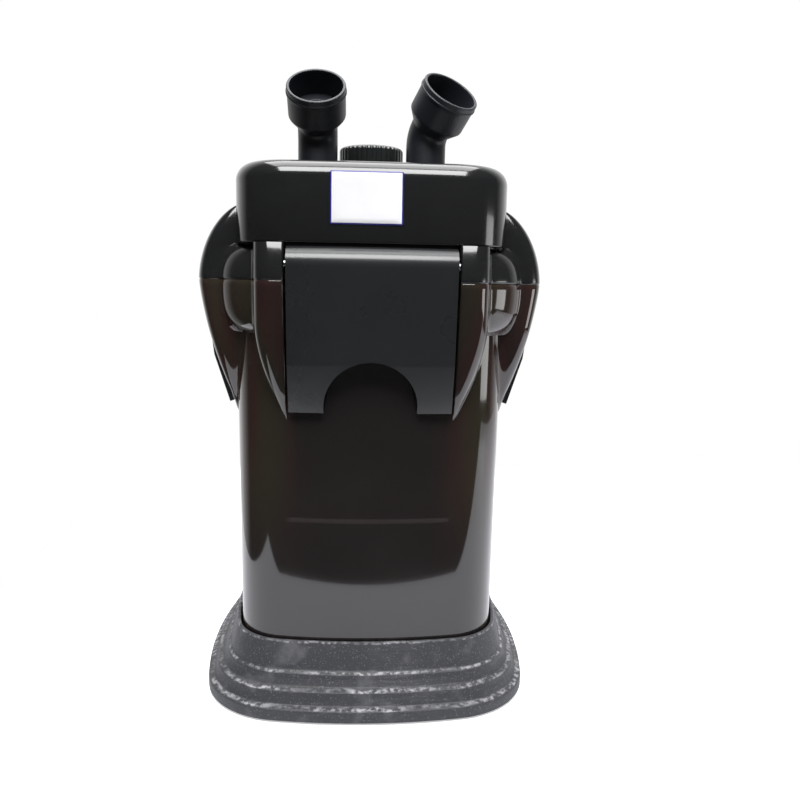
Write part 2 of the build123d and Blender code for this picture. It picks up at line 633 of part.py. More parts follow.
def port_sockets():
    sockets = []
    foot = SPLIT_Z + HEAD_PLATE
    step = NECK_COLLAR_Z - GAP
    for x, y in port_places():
        wide = NECK_RADIUS + NECK_COLLAR + GAP
        shell = drum(x, y, foot, COVER_TOP_Z - COVER_WALL, wide + SOCKET_WALL)
        upper = drum(x, y, step, COVER_TOP_Z, wide)
        bore = drum(x, y, NECK_LOW_Z - GAP, COVER_TOP_Z, NECK_RADIUS + 2 * PIN_CLEAR)
        lower = drum(x, y, foot - 1, COVER_TOP_Z, NECK_BORE)
        sockets.append(shell.cut(upper, bore, lower))
    return Compound(children=sockets)


def port_seals():
    low = NECK_LOW_Z + 5 + 0.1
    rings = []
    for x, y in port_places():
        inner = NECK_RADIUS - ORING + PIN_CLEAR
        rings.append(tube(x, y, low, low + 2 * ORING, NECK_RADIUS + PIN_CLEAR, inner))
    return Compound(children=rings)


# ---- priming knob ----
def priming_knob():
    cap = drum(0, KNOB_Y, KNOB_LOW_Z, KNOB_TOP_Z, KNOB_RADIUS)
    cap = fillet(cap.edges().group_by(Axis.Z)[-1], KNOB_ROUND)
    cap = cap.cut(drum(0, KNOB_Y, KNOB_LOW_Z - 1, KNOB_TOP_Z - 4, KNOB_RADIUS - KNOB_WALL - KNOB_RIB_RADIUS))
    grooves = []
    for k in range(KNOB_RIBS):
        angle = radians(360 / KNOB_RIBS * k)
        x = KNOB_RADIUS * cos(angle)
        y = KNOB_Y + KNOB_RADIUS * sin(angle)
        grooves.append(drum(x, y, COVER_TOP_Z, KNOB_TOP_Z + 1, KNOB_RIB_RADIUS))
    stem = drum(0, KNOB_Y, PISTON_Z, KNOB_TOP_Z - 3, STEM_RADIUS)
    piston = drum(0, KNOB_Y, PISTON_Z, PISTON_Z + PISTON_THICK, PISTON_RADIUS)
    return joined(cap, [stem, piston]).cut(*grooves)


def primer_cylinder():
    foot = SPLIT_Z + HEAD_PLATE
    top = KNOB_LOW_Z - KNOB_STROKE - 3
    bore = PISTON_RADIUS + 2 * PIN_CLEAR
    body = drum(0, KNOB_Y, foot, top, bore + CYLINDER_WALL)
    return body.cut(drum(0, KNOB_Y, foot + 3, top + 1, bore))


def primer_spring():
    """Envelope of the coil spring between the cylinder's floor and the piston."""
    foot = SPLIT_Z + HEAD_PLATE + 3
    return tube(0, KNOB_Y, foot, PISTON_Z, SPRING_RADIUS + SPRING_WIRE / 2, SPRING_RADIUS - SPRING_WIRE / 2)


# ---- motor, impeller and volute ----
def motor_housing():
    foot = SPLIT_Z + HEAD_PLATE
    body = block(-MOTOR_X_HALF, MOTOR_X_HALF, MOTOR_Y - MOTOR_Y_HALF, MOTOR_Y + MOTOR_Y_HALF,
                 foot, MOTOR_TOP_Z)
    body = fillet(body.edges().filter_by(Axis.Z), 6)
    skin = 2.5
    room = block(-MOTOR_X_HALF + skin, MOTOR_X_HALF - skin, MOTOR_Y - MOTOR_Y_HALF + skin,
                 MOTOR_Y + MOTOR_Y_HALF - skin, foot + skin, MOTOR_TOP_Z - skin)
    well = tube(0, IMPELLER_Y, foot, ROTOR_WELL_TOP + 2, ROTOR_WELL + 1.5, ROTOR_WELL)
    cap = drum(0, IMPELLER_Y, ROTOR_WELL_TOP, ROTOR_WELL_TOP + 2, ROTOR_WELL + 1)
    body = joined(body.cut(room), [well, cap])
    return body.cut(drum(0, IMPELLER_Y, foot - 1, ROTOR_WELL_TOP, ROTOR_WELL))


def stator_leg(side, grow):
    """Space of one leg beside the rotor well, widened by the same amount all round."""
    near = ROTOR_WELL + 1.5 + COIL_WIDTH + GAP
    x0, x1 = sorted((side * (near - grow), side * (near + LEG_WIDTH + grow)))
    return x0, x1, IMPELLER_Y - LEG_DEPTH / 2 - grow, IMPELLER_Y + LEG_DEPTH / 2 + grow


def stator_core():
    """Laminated arch over the rotor well: two legs and the yoke that joins them."""
    foot = SPLIT_Z + HEAD_PLATE + 3
    top = MOTOR_TOP_Z - 3
    legs = [block(*stator_leg(side, 0), foot, top) for side in (-1, 1)]
    far = stator_leg(1, 0)[1]
    yoke = block(-far, far, IMPELLER_Y - LEG_DEPTH / 2, IMPELLER_Y + LEG_DEPTH / 2, ROTOR_WELL_TOP + 3, top)
    return joined(yoke, legs)


def stator_coils():
    """One winding round each leg."""
    foot = SPLIT_Z + HEAD_PLATE + 5
    coils = []
    for side in (-1, 1):
        winding = block(*stator_leg(side, COIL_WIDTH - PIN_CLEAR), foot, ROTOR_WELL_TOP - 4)
        coils.append(winding.cut(block(*stator_leg(side, PIN_CLEAR), foot - 1, ROTOR_WELL_TOP)))
    return Compound(children=coils)


def impeller():
    x, y = 0, IMPELLER_Y
    body = drum(x, y, MAGNET_LOW_Z - 14, MAGNET_TOP_Z, MAGNET_RADIUS)
    adds = [drum(x, y, MAGNET_LOW_Z - 12, MAGNET_LOW_Z - 10.5, IMPELLER_RADIUS)]
    for k in range(BLADES):
        blade = block(5, IMPELLER_RADIUS, -BLADE_THICK / 2, BLADE_THICK / 2,
                      MAGNET_LOW_Z - 20, MAGNET_LOW_Z - 11)
        adds.append(Pos(x, y, 0) * Rot(0, 0, 360 / BLADES * k) * blade)
    adds.append(drum(x, y, MAGNET_LOW_Z - 20, MAGNET_LOW_Z - 11, 6.0))
    body = joined(body, adds)
    return body.cut(drum(x, y, VOLUTE_Z, MAGNET_TOP_Z + 1, SHAFT_RADIUS + PIN_CLEAR))


def shaft_span():
    """Height of the lower and of the upper bush."""
    return VOLUTE_Z + 0.5, ROTOR_WELL_TOP - BUSH_HEIGHT


def impeller_shaft():
    low, high = shaft_span()
    return drum(0, IMPELLER_Y, low + 1, high + BUSH_HEIGHT - 1, SHAFT_RADIUS)


def shaft_bushes():
    bushes = []
    for low, up in zip(shaft_span(), (1, 0)):
        radius = BUSH_RADIUS
        bush = drum(0, IMPELLER_Y, low, low + BUSH_HEIGHT, radius)
        start = low + 1 if up else low - 1
        bush = bush.cut(drum(0, IMPELLER_Y, start, start + BUSH_HEIGHT, SHAFT_RADIUS + PIN_CLEAR / 2))
        if not up:
            top = low + BUSH_HEIGHT
            ring = tube(0, IMPELLER_Y, top - 2, top, ROTOR_WELL - 0.1, radius - 0.5)
            bush = bush + ring
        bushes.append(bush)
    return Compound(children=bushes)


def volute_plan(extra):
    """Outline round the impeller that runs to the outlet port."""
    port_x, port_y = PORT_X, PORT_Y
    big = Pos(0, IMPELLER_Y) * Circle(VOLUTE_RADIUS + extra)
    small = Pos(port_x, port_y) * Circle(VOLUTE_OUTLET_RADIUS + extra)
    return make_hull(big.edges() + small.edges())


def volute_housing():
    outer = Pos(0, 0, VOLUTE_Z) * extrude(volute_plan(0), SPLIT_Z - VOLUTE_Z)
    room = Pos(0, 0, VOLUTE_Z + VOLUTE_WALL) * extrude(volute_plan(-VOLUTE_WALL), SPLIT_Z)
    seat = tube(0, IMPELLER_Y, VOLUTE_Z, VOLUTE_Z + VOLUTE_WALL, BUSH_RADIUS + 2, BUSH_RADIUS)
    floor = VOLUTE_Z + VOLUTE_WALL
    arms = [block(-VOLUTE_INLET - 1, -BUSH_RADIUS - 1, IMPELLER_Y - 1, IMPELLER_Y + 1, VOLUTE_Z, floor),
            block(BUSH_RADIUS + 1, VOLUTE_INLET + 1, IMPELLER_Y - 1, IMPELLER_Y + 1, VOLUTE_Z, floor)]
    inlet = drum(0, IMPELLER_Y, VOLUTE_Z - 1, VOLUTE_Z + VOLUTE_WALL + 1, VOLUTE_INLET)
    return joined(outer.cut(room, inlet), [seat] + arms)


# ---- baskets and media ----
def basket(low, high, foot):
    half = can_half(low) - WALL - BASKET_GAP
    shell = slab(BODY, corner_for(half), low, high)
    room = slab(BODY, corner_for(half - BASKET_WALL), low + BASKET_FLOOR, high + 1)
    sleeve = drum(-PORT_X, PORT_Y, low, high, TUBE_RADIUS + 1 + BASKET_WALL)
    slots = []
    pitch = 2 * (half - 16) / BASKET_SLOTS
    for k in range(BASKET_SLOTS):
        x = (k - (BASKET_SLOTS - 1) / 2) * pitch
        for y0, y1 in ((-half + 14, -4), (4, half - 14)):
            slots.append(block(x - BASKET_SLOT_WIDTH / 2, x + BASKET_SLOT_WIDTH / 2, y0, y1,
                               low - 1, low + BASKET_FLOOR + 1))
    pegs = [drum(x, y, low - foot, low + BASKET_FLOOR, 5) for x in (-66, 66) for y in (-66, 66) if foot]
    body = joined(shell.cut(room).cut(*slots), [sleeve] + pegs)
    return body.cut(drum(-PORT_X, PORT_Y, low - foot - 1, high + 1, TUBE_RADIUS + 1))


def basket_lid():
    low = BASKET_TOP_Z
    half = can_half(low) - WALL - BASKET_GAP
    lid = slab(BODY, corner_for(half), low, low + 3)
    cuts = [drum(-PORT_X, PORT_Y, low - 1, low + 4, TUBE_RADIUS + 1)]
    for k in range(BASKET_SLOTS):
        x = (k - (BASKET_SLOTS - 1) / 2) * 2 * (half - 16) / BASKET_SLOTS
        if abs(x + PORT_X) > TUBE_RADIUS + BASKET_SLOT_WIDTH:
            cuts.append(block(x - BASKET_SLOT_WIDTH / 2, x + BASKET_SLOT_WIDTH / 2, -half + 14, half - 14,
                              low - 1, low + 4))
    posts = [drum(x, y, low, SPLIT_Z - 9 - GAP, 4) for x in (-64, 64) for y in (-64, 64)]
    return joined(lid.cut(*cuts), posts)


def media_pad(low, high):
    """Pad cut to a basket, with a hole for the intake tube's sleeve."""
    half = can_half(BASKET_Z) - WALL - BASKET_GAP - BASKET_WALL - MEDIA_GAP
    pad = slab(BODY, corner_for(half), low, high)
    return pad.cut(drum(-PORT_X, PORT_Y, low - 1, high + 1, TUBE_RADIUS + 1 + BASKET_WALL + MEDIA_GAP))


def ceramic_rings():
    low = BASKET_Z + BASKET_FLOOR
    pitch = 2 * RING_OUTER + 0.6
    wall = corner_for(can_half(BASKET_Z) - WALL - BASKET_GAP - BASKET_WALL)
    rings = []
    for i in range(-3, 4):
        for j in range(-3, 4):
            x = i * pitch
            y = j * pitch
            clear = hypot(x + PORT_X, y - PORT_Y) > TUBE_RADIUS + 1 + BASKET_WALL + RING_OUTER + MEDIA_GAP
            over = hypot(max(abs(x) - CORNER_CENTRE, 0), max(abs(y) - CORNER_CENTRE, 0))
            inside = over + RING_OUTER < wall
            if clear and inside:
                rings.append(tube(x, y, low, low + RING_HEIGHT, RING_OUTER, RING_BORE))
    return Compound(children=rings)


def intake_tube():
    top = SPLIT_Z + HEAD_PLATE
    pipe = tube(-PORT_X, PORT_Y, TUBE_LOW_Z, top, TUBE_RADIUS, TUBE_BORE)
    flange = tube(-PORT_X, PORT_Y, SPLIT_Z - 3, SPLIT_Z, TUBE_RADIUS + 4, TUBE_BORE)
    return pipe + flange


def cable_gland(cover):
    """Gland through the rear wall, nut inside; the lead itself isn't part of this object."""
    rear = reach_y(COVER, COVER_CORNER)
    middle = (rear - 3 + GLAND_END_Y) / 2
    head = Pos(GLAND_X, middle, GLAND_Z) * Rot(90, 0, 0) * Cylinder(GLAND_HEAD, GLAND_END_Y - rear + 3)
    head = fillet(head.edges().group_by(Axis.Y)[-1], 2.0)
    head = head.cut(slab(COVER, COVER_CORNER, COVER_Z, COVER_TOP_Z))
    middle = (GLAND_INNER_Y + rear + 2) / 2
    stem = Pos(GLAND_X, middle, GLAND_Z) * Rot(90, 0, 0) * Cylinder(GLAND_STEM, rear + 2 - GLAND_INNER_Y)
    bore = Pos(GLAND_X, GLAND_INNER_Y + 12, GLAND_Z) * Rot(90, 0, 0) * Cylinder(GLAND_BORE, 60)
    return (head + stem).cut(bore)


def gland_nut():
    high = reach_y(COVER, COVER_CORNER - COVER_WALL) - 3.4
    nut = extrude(RegularPolygon(GLAND_HEAD + 1.5, 6), 5)
    nut = nut.cut(Cylinder(GLAND_STEM + PIN_CLEAR, 30))
    return Pos(GLAND_X, high, GLAND_Z) * Rot(90, 0, 0) * nut


def build():
    os.makedirs("parts", exist_ok=True)
    cover = head_cover()
    write("base_stand", base_stand())
    write("base_feet", base_feet())
    write("canister", canister())
    write("canister_seal", canister_seal())
    write("pump_head", pump_head())
    write("head_cover", cover)
    write("name_plate", name_plate(cover))
    write("cover_screws", cover_screws())
    lever = latch()
    for name, turn in (("right", 0), ("rear", 90), ("left", 180), ("front", 270)):
        write(f"latch_{name}", Rot(0, 0, turn) * lever)
    write("latch_pins", latch_pins())
    write("intake_elbow", elbow(-PORT_X, PORT_Y, 0))
    write("outlet_elbow", elbow(PORT_X, PORT_Y, OUTLET_TURN))
    write("port_sockets", port_sockets())
    write("port_seals", port_seals())
    write("priming_knob", priming_knob())
    write("primer_cylinder", primer_cylinder())
    write("primer_spring", primer_spring())
    write("motor_housing", motor_housing())
    write("stator_core", stator_core())
    write("stator_coils", stator_coils())
    write("impeller", impeller())
    write("impeller_shaft", impeller_shaft())
    write("shaft_bushes", shaft_bushes())
    write("volute_housing", volute_housing())
    write("basket_lower", basket(BASKET_Z, BASKET_SPLIT_Z, BASKET_FOOT))
    write("basket_upper", basket(BASKET_SPLIT_Z, BASKET_TOP_Z, 0))
    write("basket_lid", basket_lid())
    ring_top = BASKET_Z + BASKET_FLOOR + RING_HEIGHT
    write("ceramic_rings", ceramic_rings())
    write("coarse_foam", media_pad(ring_top, ring_top + FOAM_HEIGHT))
    upper = BASKET_SPLIT_Z + BASKET_FLOOR
    write("medium_foam", media_pad(upper, upper + FOAM_HEIGHT))
    write("fine_foam", media_pad(upper + FOAM_HEIGHT, upper + 2 * FOAM_HEIGHT))
    write("intake_tube", intake_tube())
    write("cable_gland", cable_gland(cover))
    write("gland_nut", gland_nut())


build()
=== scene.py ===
import bpy
import numpy as np
from math import atan2, cos, hypot, pi, radians, sin, tan
from mathutils import Matrix, Vector

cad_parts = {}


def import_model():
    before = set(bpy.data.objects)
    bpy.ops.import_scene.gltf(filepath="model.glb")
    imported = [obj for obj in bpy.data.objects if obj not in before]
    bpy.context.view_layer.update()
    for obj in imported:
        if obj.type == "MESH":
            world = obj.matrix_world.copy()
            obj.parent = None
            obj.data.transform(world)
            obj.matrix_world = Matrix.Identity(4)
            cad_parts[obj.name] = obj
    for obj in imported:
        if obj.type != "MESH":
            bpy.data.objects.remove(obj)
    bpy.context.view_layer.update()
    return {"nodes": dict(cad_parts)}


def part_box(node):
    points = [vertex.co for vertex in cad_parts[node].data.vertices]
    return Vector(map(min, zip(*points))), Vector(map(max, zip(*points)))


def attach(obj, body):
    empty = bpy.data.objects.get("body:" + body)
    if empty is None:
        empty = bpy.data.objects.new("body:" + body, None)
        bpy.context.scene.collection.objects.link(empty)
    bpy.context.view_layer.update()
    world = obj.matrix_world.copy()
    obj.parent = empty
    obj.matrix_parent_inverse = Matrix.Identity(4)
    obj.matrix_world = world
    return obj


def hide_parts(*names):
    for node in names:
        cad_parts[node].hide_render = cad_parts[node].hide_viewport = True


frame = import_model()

# Canister filter. Lengths are millimetres until mesh_piece() turns them into metres.
MM = 0.001


def low(node):
    """Lowest corner of a CAD node, in millimetres."""
    return np.array(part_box(node)[0]) / MM


def high(node):
    """Highest corner of a CAD node, in millimetres."""
    return np.array(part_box(node)[1]) / MM


# ---- sizes that fitted parts share ----
PIN_RADIUS = 2.5
PIN_COVER = 11.5              # from a latch pin's axis out to the face of its housing
RIM_HEIGHT = 1.6              # port rims above the cover
RIM_WIDTH = 3.0
SOCKET_HALF = 19.1
NECK_RADIUS = 14.0
CUP_RADIUS = 20.0
KNOB_TO_COVER = 11.0          # from the cover's top down to the knob's lower edge

# ---- heights and half widths, from the frame ----
SEAT_Z = low("canister")[2]
SPLIT_Z = high("canister")[2]
COVER_Z = SPLIT_Z + 23.0
COVER_TOP_Z = high("head_cover")[2] - RIM_HEIGHT
SHOULDER_TOP_Z = high("pump_head")[2]
PIN_REACH = -low("latch_pins")[0] - PIN_RADIUS
PIN_Z = SPLIT_Z + 10.0
HOUSING_REACH = PIN_REACH + PIN_COVER
STAND_HALF = high("base_stand")[0]
STAND_TOP = high("base_stand")[2]
STAND_LIFT = low("base_stand")[2]
LATCH_HALF = high("latch_front")[0]
LATCH_FOOT_Z = low("latch_front")[2]
LATCH_TOP_Z = high("latch_front")[2]
COVER_HALF_X = high("head_cover")[0]
COVER_HALF_Y = high("head_cover")[1]
KNOB_TOP_Z = high("priming_knob")[2]
KNOB_LOW_Z = COVER_TOP_Z - KNOB_TO_COVER
KNOB_RADIUS = high("priming_knob")[0]
KNOB_Y = (low("priming_knob")[1] + high("priming_knob")[1]) / 2
PORT_X = -low("port_sockets")[0] - SOCKET_HALF
PORT_Y = (low("port_sockets")[1] + high("port_sockets")[1]) / 2

# ---- plan of the square body ----
CORNER_CENTRE = 53.6          # middle of each corner's round, from both axes
SIDE_CENTRE = 263.0           # middle of each side's bulge, this far behind the axis
BULGE = 466.0                 # plan radius of the latch faces
RECESS = LATCH_HALF + 1.5     # half width of the flat that a latch lies in

# ---- canister ----
WALL = 3.2
DRAFT = 0.0074                # half width gained for each millimetre of height
FOOT_HALF = 93.5
BOTTOM_ROUND = 8.0
LEDGE_Z = SPLIT_Z - 8.0       # the hooks catch under this ledge
LEDGE_HALF = 105.0
COLLAR_HALF = 108.0
COLLAR_FOOT_HALF = 92.0
COLLAR_LOW_Z = SPLIT_Z - 34.0

# ---- cheeks of the latch housings ----
HOUSING_LOW_Z = SPLIT_Z - 90.0
CHEEK_HALF = 74.0
CHEEK_ROUND = 14.0
CHEEK_FADE = 88.0             # a cheek whose face lies this far out has sunk into the wall
CHEEK_SINK = 24.5             # how far in the face leans by the cheek's lower tip
CHEEK_TAPER_Z = SPLIT_Z - 28.0
CHEEK_TAPER = 20.0            # how much narrower the lower tip is on each side
BLEND = 5.0                   # width over which a cheek melts into the body

# ---- pump head ----
SHOULDER_HALF = 96.0
POCKET_HALF = 94.5
FLANGE = (3.5, 104.0)         # thickness and half width of the flange behind each latch
INSIDE = 84.0                 # anything drawn in to here is hidden under the cover
EDGE_GAP = 0.6                # each half's lip stands in by this at the split


# ---- mesh helpers ----
def mesh_piece(name, vertices, faces, material, body, stands_for, sharp=40.0):
    """Closed mesh from millimetre vertices, smooth up to the sharp angle, riding on its body."""
    mesh = bpy.data.meshes.new(name)
    mesh.from_pydata((np.asarray(vertices) * MM).tolist(), [], faces)
    mesh.validate()
    mesh.shade_smooth()
    mesh.set_sharp_from_angle(angle=radians(sharp))
    piece = bpy.data.objects.new(name, mesh)
    bpy.context.scene.collection.objects.link(piece)
    mesh.materials.append(material)
    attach(piece, body)
    if stands_for:
        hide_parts(stands_for)
    return piece


def loft(rings):
    """Closed surface through (rows, columns, 3) rings.

    Quads join each row to the next, and a fan runs from each end row to its middle.
    """
    rows, columns = rings.shape[:2]
    i = np.arange(rows - 1)[:, None] * columns
    j = np.arange(columns)[None, :]
    k = (j + 1) % columns
    quads = np.stack([i + j, i + k, i + k + columns, i + j + columns], -1).reshape(-1, 4)
    middles = np.stack([rings[0].mean(0), rings[-1].mean(0)])
    vertices = np.concatenate([rings.reshape(-1, 3), middles])
    first, last = rows * columns, rows * columns + 1
    here, beside = j.ravel(), k.ravel()
    low_fan = np.stack([beside, here, np.full(columns, first)], -1)
    high_fan = np.stack([here, beside, np.full(columns, last)], -1)
    high_fan[:, :2] += (rows - 1) * columns
    return vertices, quads.tolist() + low_fan.tolist() + high_fan.tolist()


def turned(points, degrees_round):
    """Points turned about the upright axis."""
    c, s = cos(radians(degrees_round)), sin(radians(degrees_round))
    out = np.array(points, float)
    out[..., 0] = points[..., 0] * c - points[..., 1] * s
    out[..., 1] = points[..., 0] * s + points[..., 1] * c
    return out


def rounded_path(corners, step=1.2, closed=False):
    """Path through (a, b, radius) corners: straight runs, and an arc of that radius tangent to both.

    The arc's middle lies radius / sin(half angle) along the corner's bisector, and it turns through
    180 degrees less the corner's angle.
    """
    out = []
    count = len(corners)
    for i, (a, b, radius) in enumerate(corners):
        p = np.array([a, b], float)
        if radius == 0 or (not closed and i in (0, count - 1)):
            out.append(p)
            continue
        before = np.array(corners[i - 1][:2], float) - p
        after = np.array(corners[(i + 1) % count][:2], float) - p
        before /= np.linalg.norm(before)
        after /= np.linalg.norm(after)
        half = np.arccos(np.clip(before @ after, -1, 1)) / 2
        middle = p + (before + after) / np.linalg.norm(before + after) * radius / sin(half)
        start = p + before * radius / tan(half) - middle
        sweep = pi - 2 * half
        sign = -1.0 if before[0] * after[1] - before[1] * after[0] > 0 else 1.0
        steps = max(3, int(radius * sweep / step) + 2)
        for turn in np.linspace(0, sign * sweep, steps):
            c, s = cos(turn), sin(turn)
            spoke = np.array([start[0] * c - start[1] * s, start[0] * s + start[1] * c])
            out.append(middle + spoke)
    return np.array(out)


def revolved(path, count=72):
    """Surface of revolution about Z: each (radius, height) of the path becomes a circle."""
    turn = np.linspace(0, 2 * pi, count, endpoint=False)
    r, z = path[:, 0][:, None], path[:, 1][:, None]
    return np.stack([r * np.cos(turn), r * np.sin(turn), z + 0 * turn], -1)


# ---- columns of the body: straight out across each latch recess, then a fan round each corner ----
def body_columns():
    """Feet and directions of one half station's columns, from its middle to the corner's diagonal.

    Across the recess each column starts on the axis line and runs straight out. Past it, all start
    at the recess's corner and fan round through 45 degrees.
    """
    flat = np.concatenate([np.linspace(0, RECESS - 2.5, 14), [RECESS - 1.0, RECESS - 0.02]])
    fan = radians(45) * np.concatenate([[0, 0.018, 0.05], np.linspace(0.1, 1, 34)])
    foot = np.concatenate([np.stack([0 * flat, flat], -1), np.full((len(fan), 2), RECESS)])
    out = np.stack([0 * flat + 1, 0 * flat], -1)
    way = np.concatenate([out, np.stack([np.cos(fan), np.sin(fan)], -1)])
    return foot, way, len(flat)


FOOT, WAY, FLAT = body_columns()


def circle_reach(centre, radius):
    """Distance along each column from its foot to a circle round centre."""
    q = FOOT - np.array(centre)
    along = (q * WAY).sum(1)[None, :]
    inside = along**2 - (q**2).sum(1)[None, :] + radius**2
    return np.sqrt(np.maximum(inside, 0)) - along


def plan_reach(half):
    """Distance along each column to the bulged square whose faces lie half from the axis.

    Its sides are arcs round SIDE_CENTRE and its corners are arcs round CORNER_CENTRE, tangent to them.
    """
    half = np.atleast_1d(half)[:, None]
    side = circle_reach((-SIDE_CENTRE, 0), half + SIDE_CENTRE)
    corner_zero = hypot(CORNER_CENTRE + SIDE_CENTRE, CORNER_CENTRE) - SIDE_CENTRE
    corner = circle_reach((CORNER_CENTRE, CORNER_CENTRE), half - corner_zero)
    x = FOOT[:, 0] + side * WAY[:, 0] - CORNER_CENTRE
    y = FOOT[:, 1] + side * WAY[:, 1] - CORNER_CENTRE
    past = np.arctan2(y, x) > atan2(CORNER_CENTRE, CORNER_CENTRE + SIDE_CENTRE)
    return np.where(past & (y > 0), corner, side)


def cheek_reach(reach, half, rounding):
    """Distance along each column to a cheek: a face at reach, a side at half, joined by a round."""
    values = (reach, half, rounding)
    reach, half, rounding = (np.atleast_1d(v)[:, None] + 0 * WAY[None, :, 0] for v in values)
    face = reach - RECESS**2 / (2 * BULGE)
    to_face = (face - FOOT[:, 0]) / np.maximum(WAY[:, 0], 1e-6)
    to_side = (half - FOOT[:, 1]) / np.maximum(WAY[:, 1], 1e-6)
    out = np.minimum(to_face, to_side)
    x = FOOT[:, 0] + out * WAY[:, 0]
    y = FOOT[:, 1] + out * WAY[:, 1]
    px = FOOT[:, 0] - (face - rounding)
    py = FOOT[:, 1] - (half - rounding)
    along = px * WAY[:, 0] + py * WAY[:, 1]
    arc = np.sqrt(np.maximum(along**2 - px**2 - py**2 + rounding**2, 0)) - along
    out = np.where((x > face - rounding) & (y > half - rounding), arc, out)
    out[:, :FLAT] = 0
    return out


def blend_max(a, b, width):
    """The larger of two values; within a width of crossing, raised by a parabola that rounds it."""
    near = np.maximum(width - np.abs(a - b), 0) / width
    return np.maximum(a, b) + near**2 * width / 4


def body_rings(reaches, heights):
    """Rings from a (rows, columns) reach for each of the four stations, turned a quarter each."""
    parts = []
    for k, reach in enumerate(reaches):
        x = FOOT[:, 0] + reach * WAY[:, 0]
        y = FOOT[:, 1] + reach * WAY[:, 1]
        z = np.asarray(heights, float)[:, None] + 0 * x
        there = np.stack([x, y, z], -1)
        back = there * np.array([1, -1, 1])
        half_ring = np.concatenate([back[:, :0:-1], there[:, :-1]], 1)
        parts.append(turned(half_ring, 90 * k))
    return np.concatenate(parts, 1)


def can_half(z):
    """Canister's half width, widening gently upwards."""
    return FOOT_HALF + DRAFT * (z - SEAT_Z)


# ---- canister ----
def canister_reach(z):
    """Wall, collar and lower cheeks of the tank at each height, each as a distance along the columns.

    The collar's half width falls from COLLAR_HALF by a power of its depth below the split. A cheek's
    face leans in by a power of its depth and its sides draw in to a tip. The three are joined by
    their rounded maximum.
    """
    wall = plan_reach(can_half(z))
    down = np.clip((SPLIT_Z - z) / (SPLIT_Z - COLLAR_LOW_Z), 0, 1)
    half = COLLAR_FOOT_HALF + (COLLAR_HALF - COLLAR_FOOT_HALF) * (1 - down**3) ** 0.42
    collar = np.where((z > COLLAR_LOW_Z)[:, None], plan_reach(half), 0)
    sink = np.clip((SPLIT_Z - z) / (SPLIT_Z - HOUSING_LOW_Z), 0, 1)
    reach = HOUSING_REACH - CHEEK_SINK * sink**1.35
    taper = np.clip((CHEEK_TAPER_Z - z) / (CHEEK_TAPER_Z - HOUSING_LOW_Z), 0, 1)
    rounding = np.clip((reach - CHEEK_FADE) * 0.45, 3, CHEEK_ROUND)
    cheek = cheek_reach(reach, CHEEK_HALF - CHEEK_TAPER * taper**1.7, rounding)
    cheek[z < HOUSING_LOW_Z] = 0
    out = blend_max(blend_max(wall, collar, 1.5), cheek, BLEND)
    out[:, :FLAT] = np.where((z >= LEDGE_Z)[:, None], LEDGE_HALF, wall[:, :FLAT])
    out[:, FLAT] -= np.where(out[:, FLAT] > wall[:, FLAT] + 2, 0.8, 0)
    return out


def canister(material):
    """Tank: rings up a quarter round at the bottom, up the wall to the split, then down inside it."""
    round_turn = np.linspace(-pi / 2, 0, 10)
    foot = SEAT_Z + BOTTOM_ROUND
    low_half = FOOT_HALF - BOTTOM_ROUND + BOTTOM_ROUND * np.cos(round_turn)
    low_z = foot + BOTTOM_ROUND * np.sin(round_turn)
    floor_z = SEAT_Z + 4.0
    z = np.concatenate([
        np.linspace(foot + 3, HOUSING_LOW_Z, 10), np.arange(HOUSING_LOW_Z + 1.5, COLLAR_LOW_Z, 1.5),
        [COLLAR_LOW_Z - 0.02, COLLAR_LOW_Z + 0.02],
        COLLAR_LOW_Z + np.array([0.15, 0.4, 0.8, 1.4, 2.2, 3.2, 4.5]),
        np.arange(COLLAR_LOW_Z + 6, LEDGE_Z - 0.1, 2.0), [LEDGE_Z - 0.01, LEDGE_Z],
        [LEDGE_Z + 4, SPLIT_Z - EDGE_GAP]])
    lip = canister_reach(np.array([SPLIT_Z])) - EDGE_GAP
    inner_z = np.array([SPLIT_Z, 200.0, 120.0, foot, floor_z, floor_z])
    inner = plan_reach(can_half(inner_z) - WALL - np.array([0, 0, 0, 0, 4.0, 30.0]))
    reach = np.concatenate([plan_reach(low_half), canister_reach(z), lip, inner])
    heights = np.concatenate([low_z, z, [SPLIT_Z], inner_z])
    vertices, faces = loft(body_rings([reach] * 4, heights))
    mesh_piece("canister_shell", vertices, faces, material, "filter", "canister", 50)


# ---- pump head ----
def head_reach(z, tall):
    """Collar's upper round and upper cheeks; tall cheeks run on up the cover's side as shoulders.

    The collar follows a quarter ellipse up to the cover. A cheek's face falls back from
    HOUSING_REACH by a power of its rise to the shoulder's top.
    """
    up = np.clip((z - SPLIT_Z) / (COVER_Z - 1 - SPLIT_Z), 0, 1)
    collar = plan_reach(SHOULDER_HALF + (COLLAR_HALF - SHOULDER_HALF) * np.sqrt(1 - up**2))
    rise = np.clip((z - SPLIT_Z) / (SHOULDER_TOP_Z - SPLIT_Z), 0, 1)
    reach = CHEEK_FADE + (HOUSING_REACH - CHEEK_FADE) * (1 - rise**1.8) ** 0.62
    over = np.clip((z - COVER_Z) / (SHOULDER_TOP_Z - COVER_Z), 0, 1)
    rounding = np.clip((reach - CHEEK_FADE) * 0.45, 2, CHEEK_ROUND)
    cheek = cheek_reach(reach, CHEEK_HALF - 5.0 * over**2, rounding)
    out = blend_max(collar, cheek, BLEND)
    out[:, :FLAT] = np.where(z <= SPLIT_Z + FLANGE[0], FLANGE[1], POCKET_HALF)[:, None]
    out[:, FLAT] -= 0.8
    inside = plan_reach(np.full(len(z), INSIDE))
    above = z > COVER_Z - 0.1
    if tall:
        ear = (cheek > inside + 0.5) & (np.arange(len(WAY)) >= FLAT)[None, :]
        return np.where(above[:, None], np.where(ear, cheek, inside), out)
    return np.where(above[:, None], inside, out)


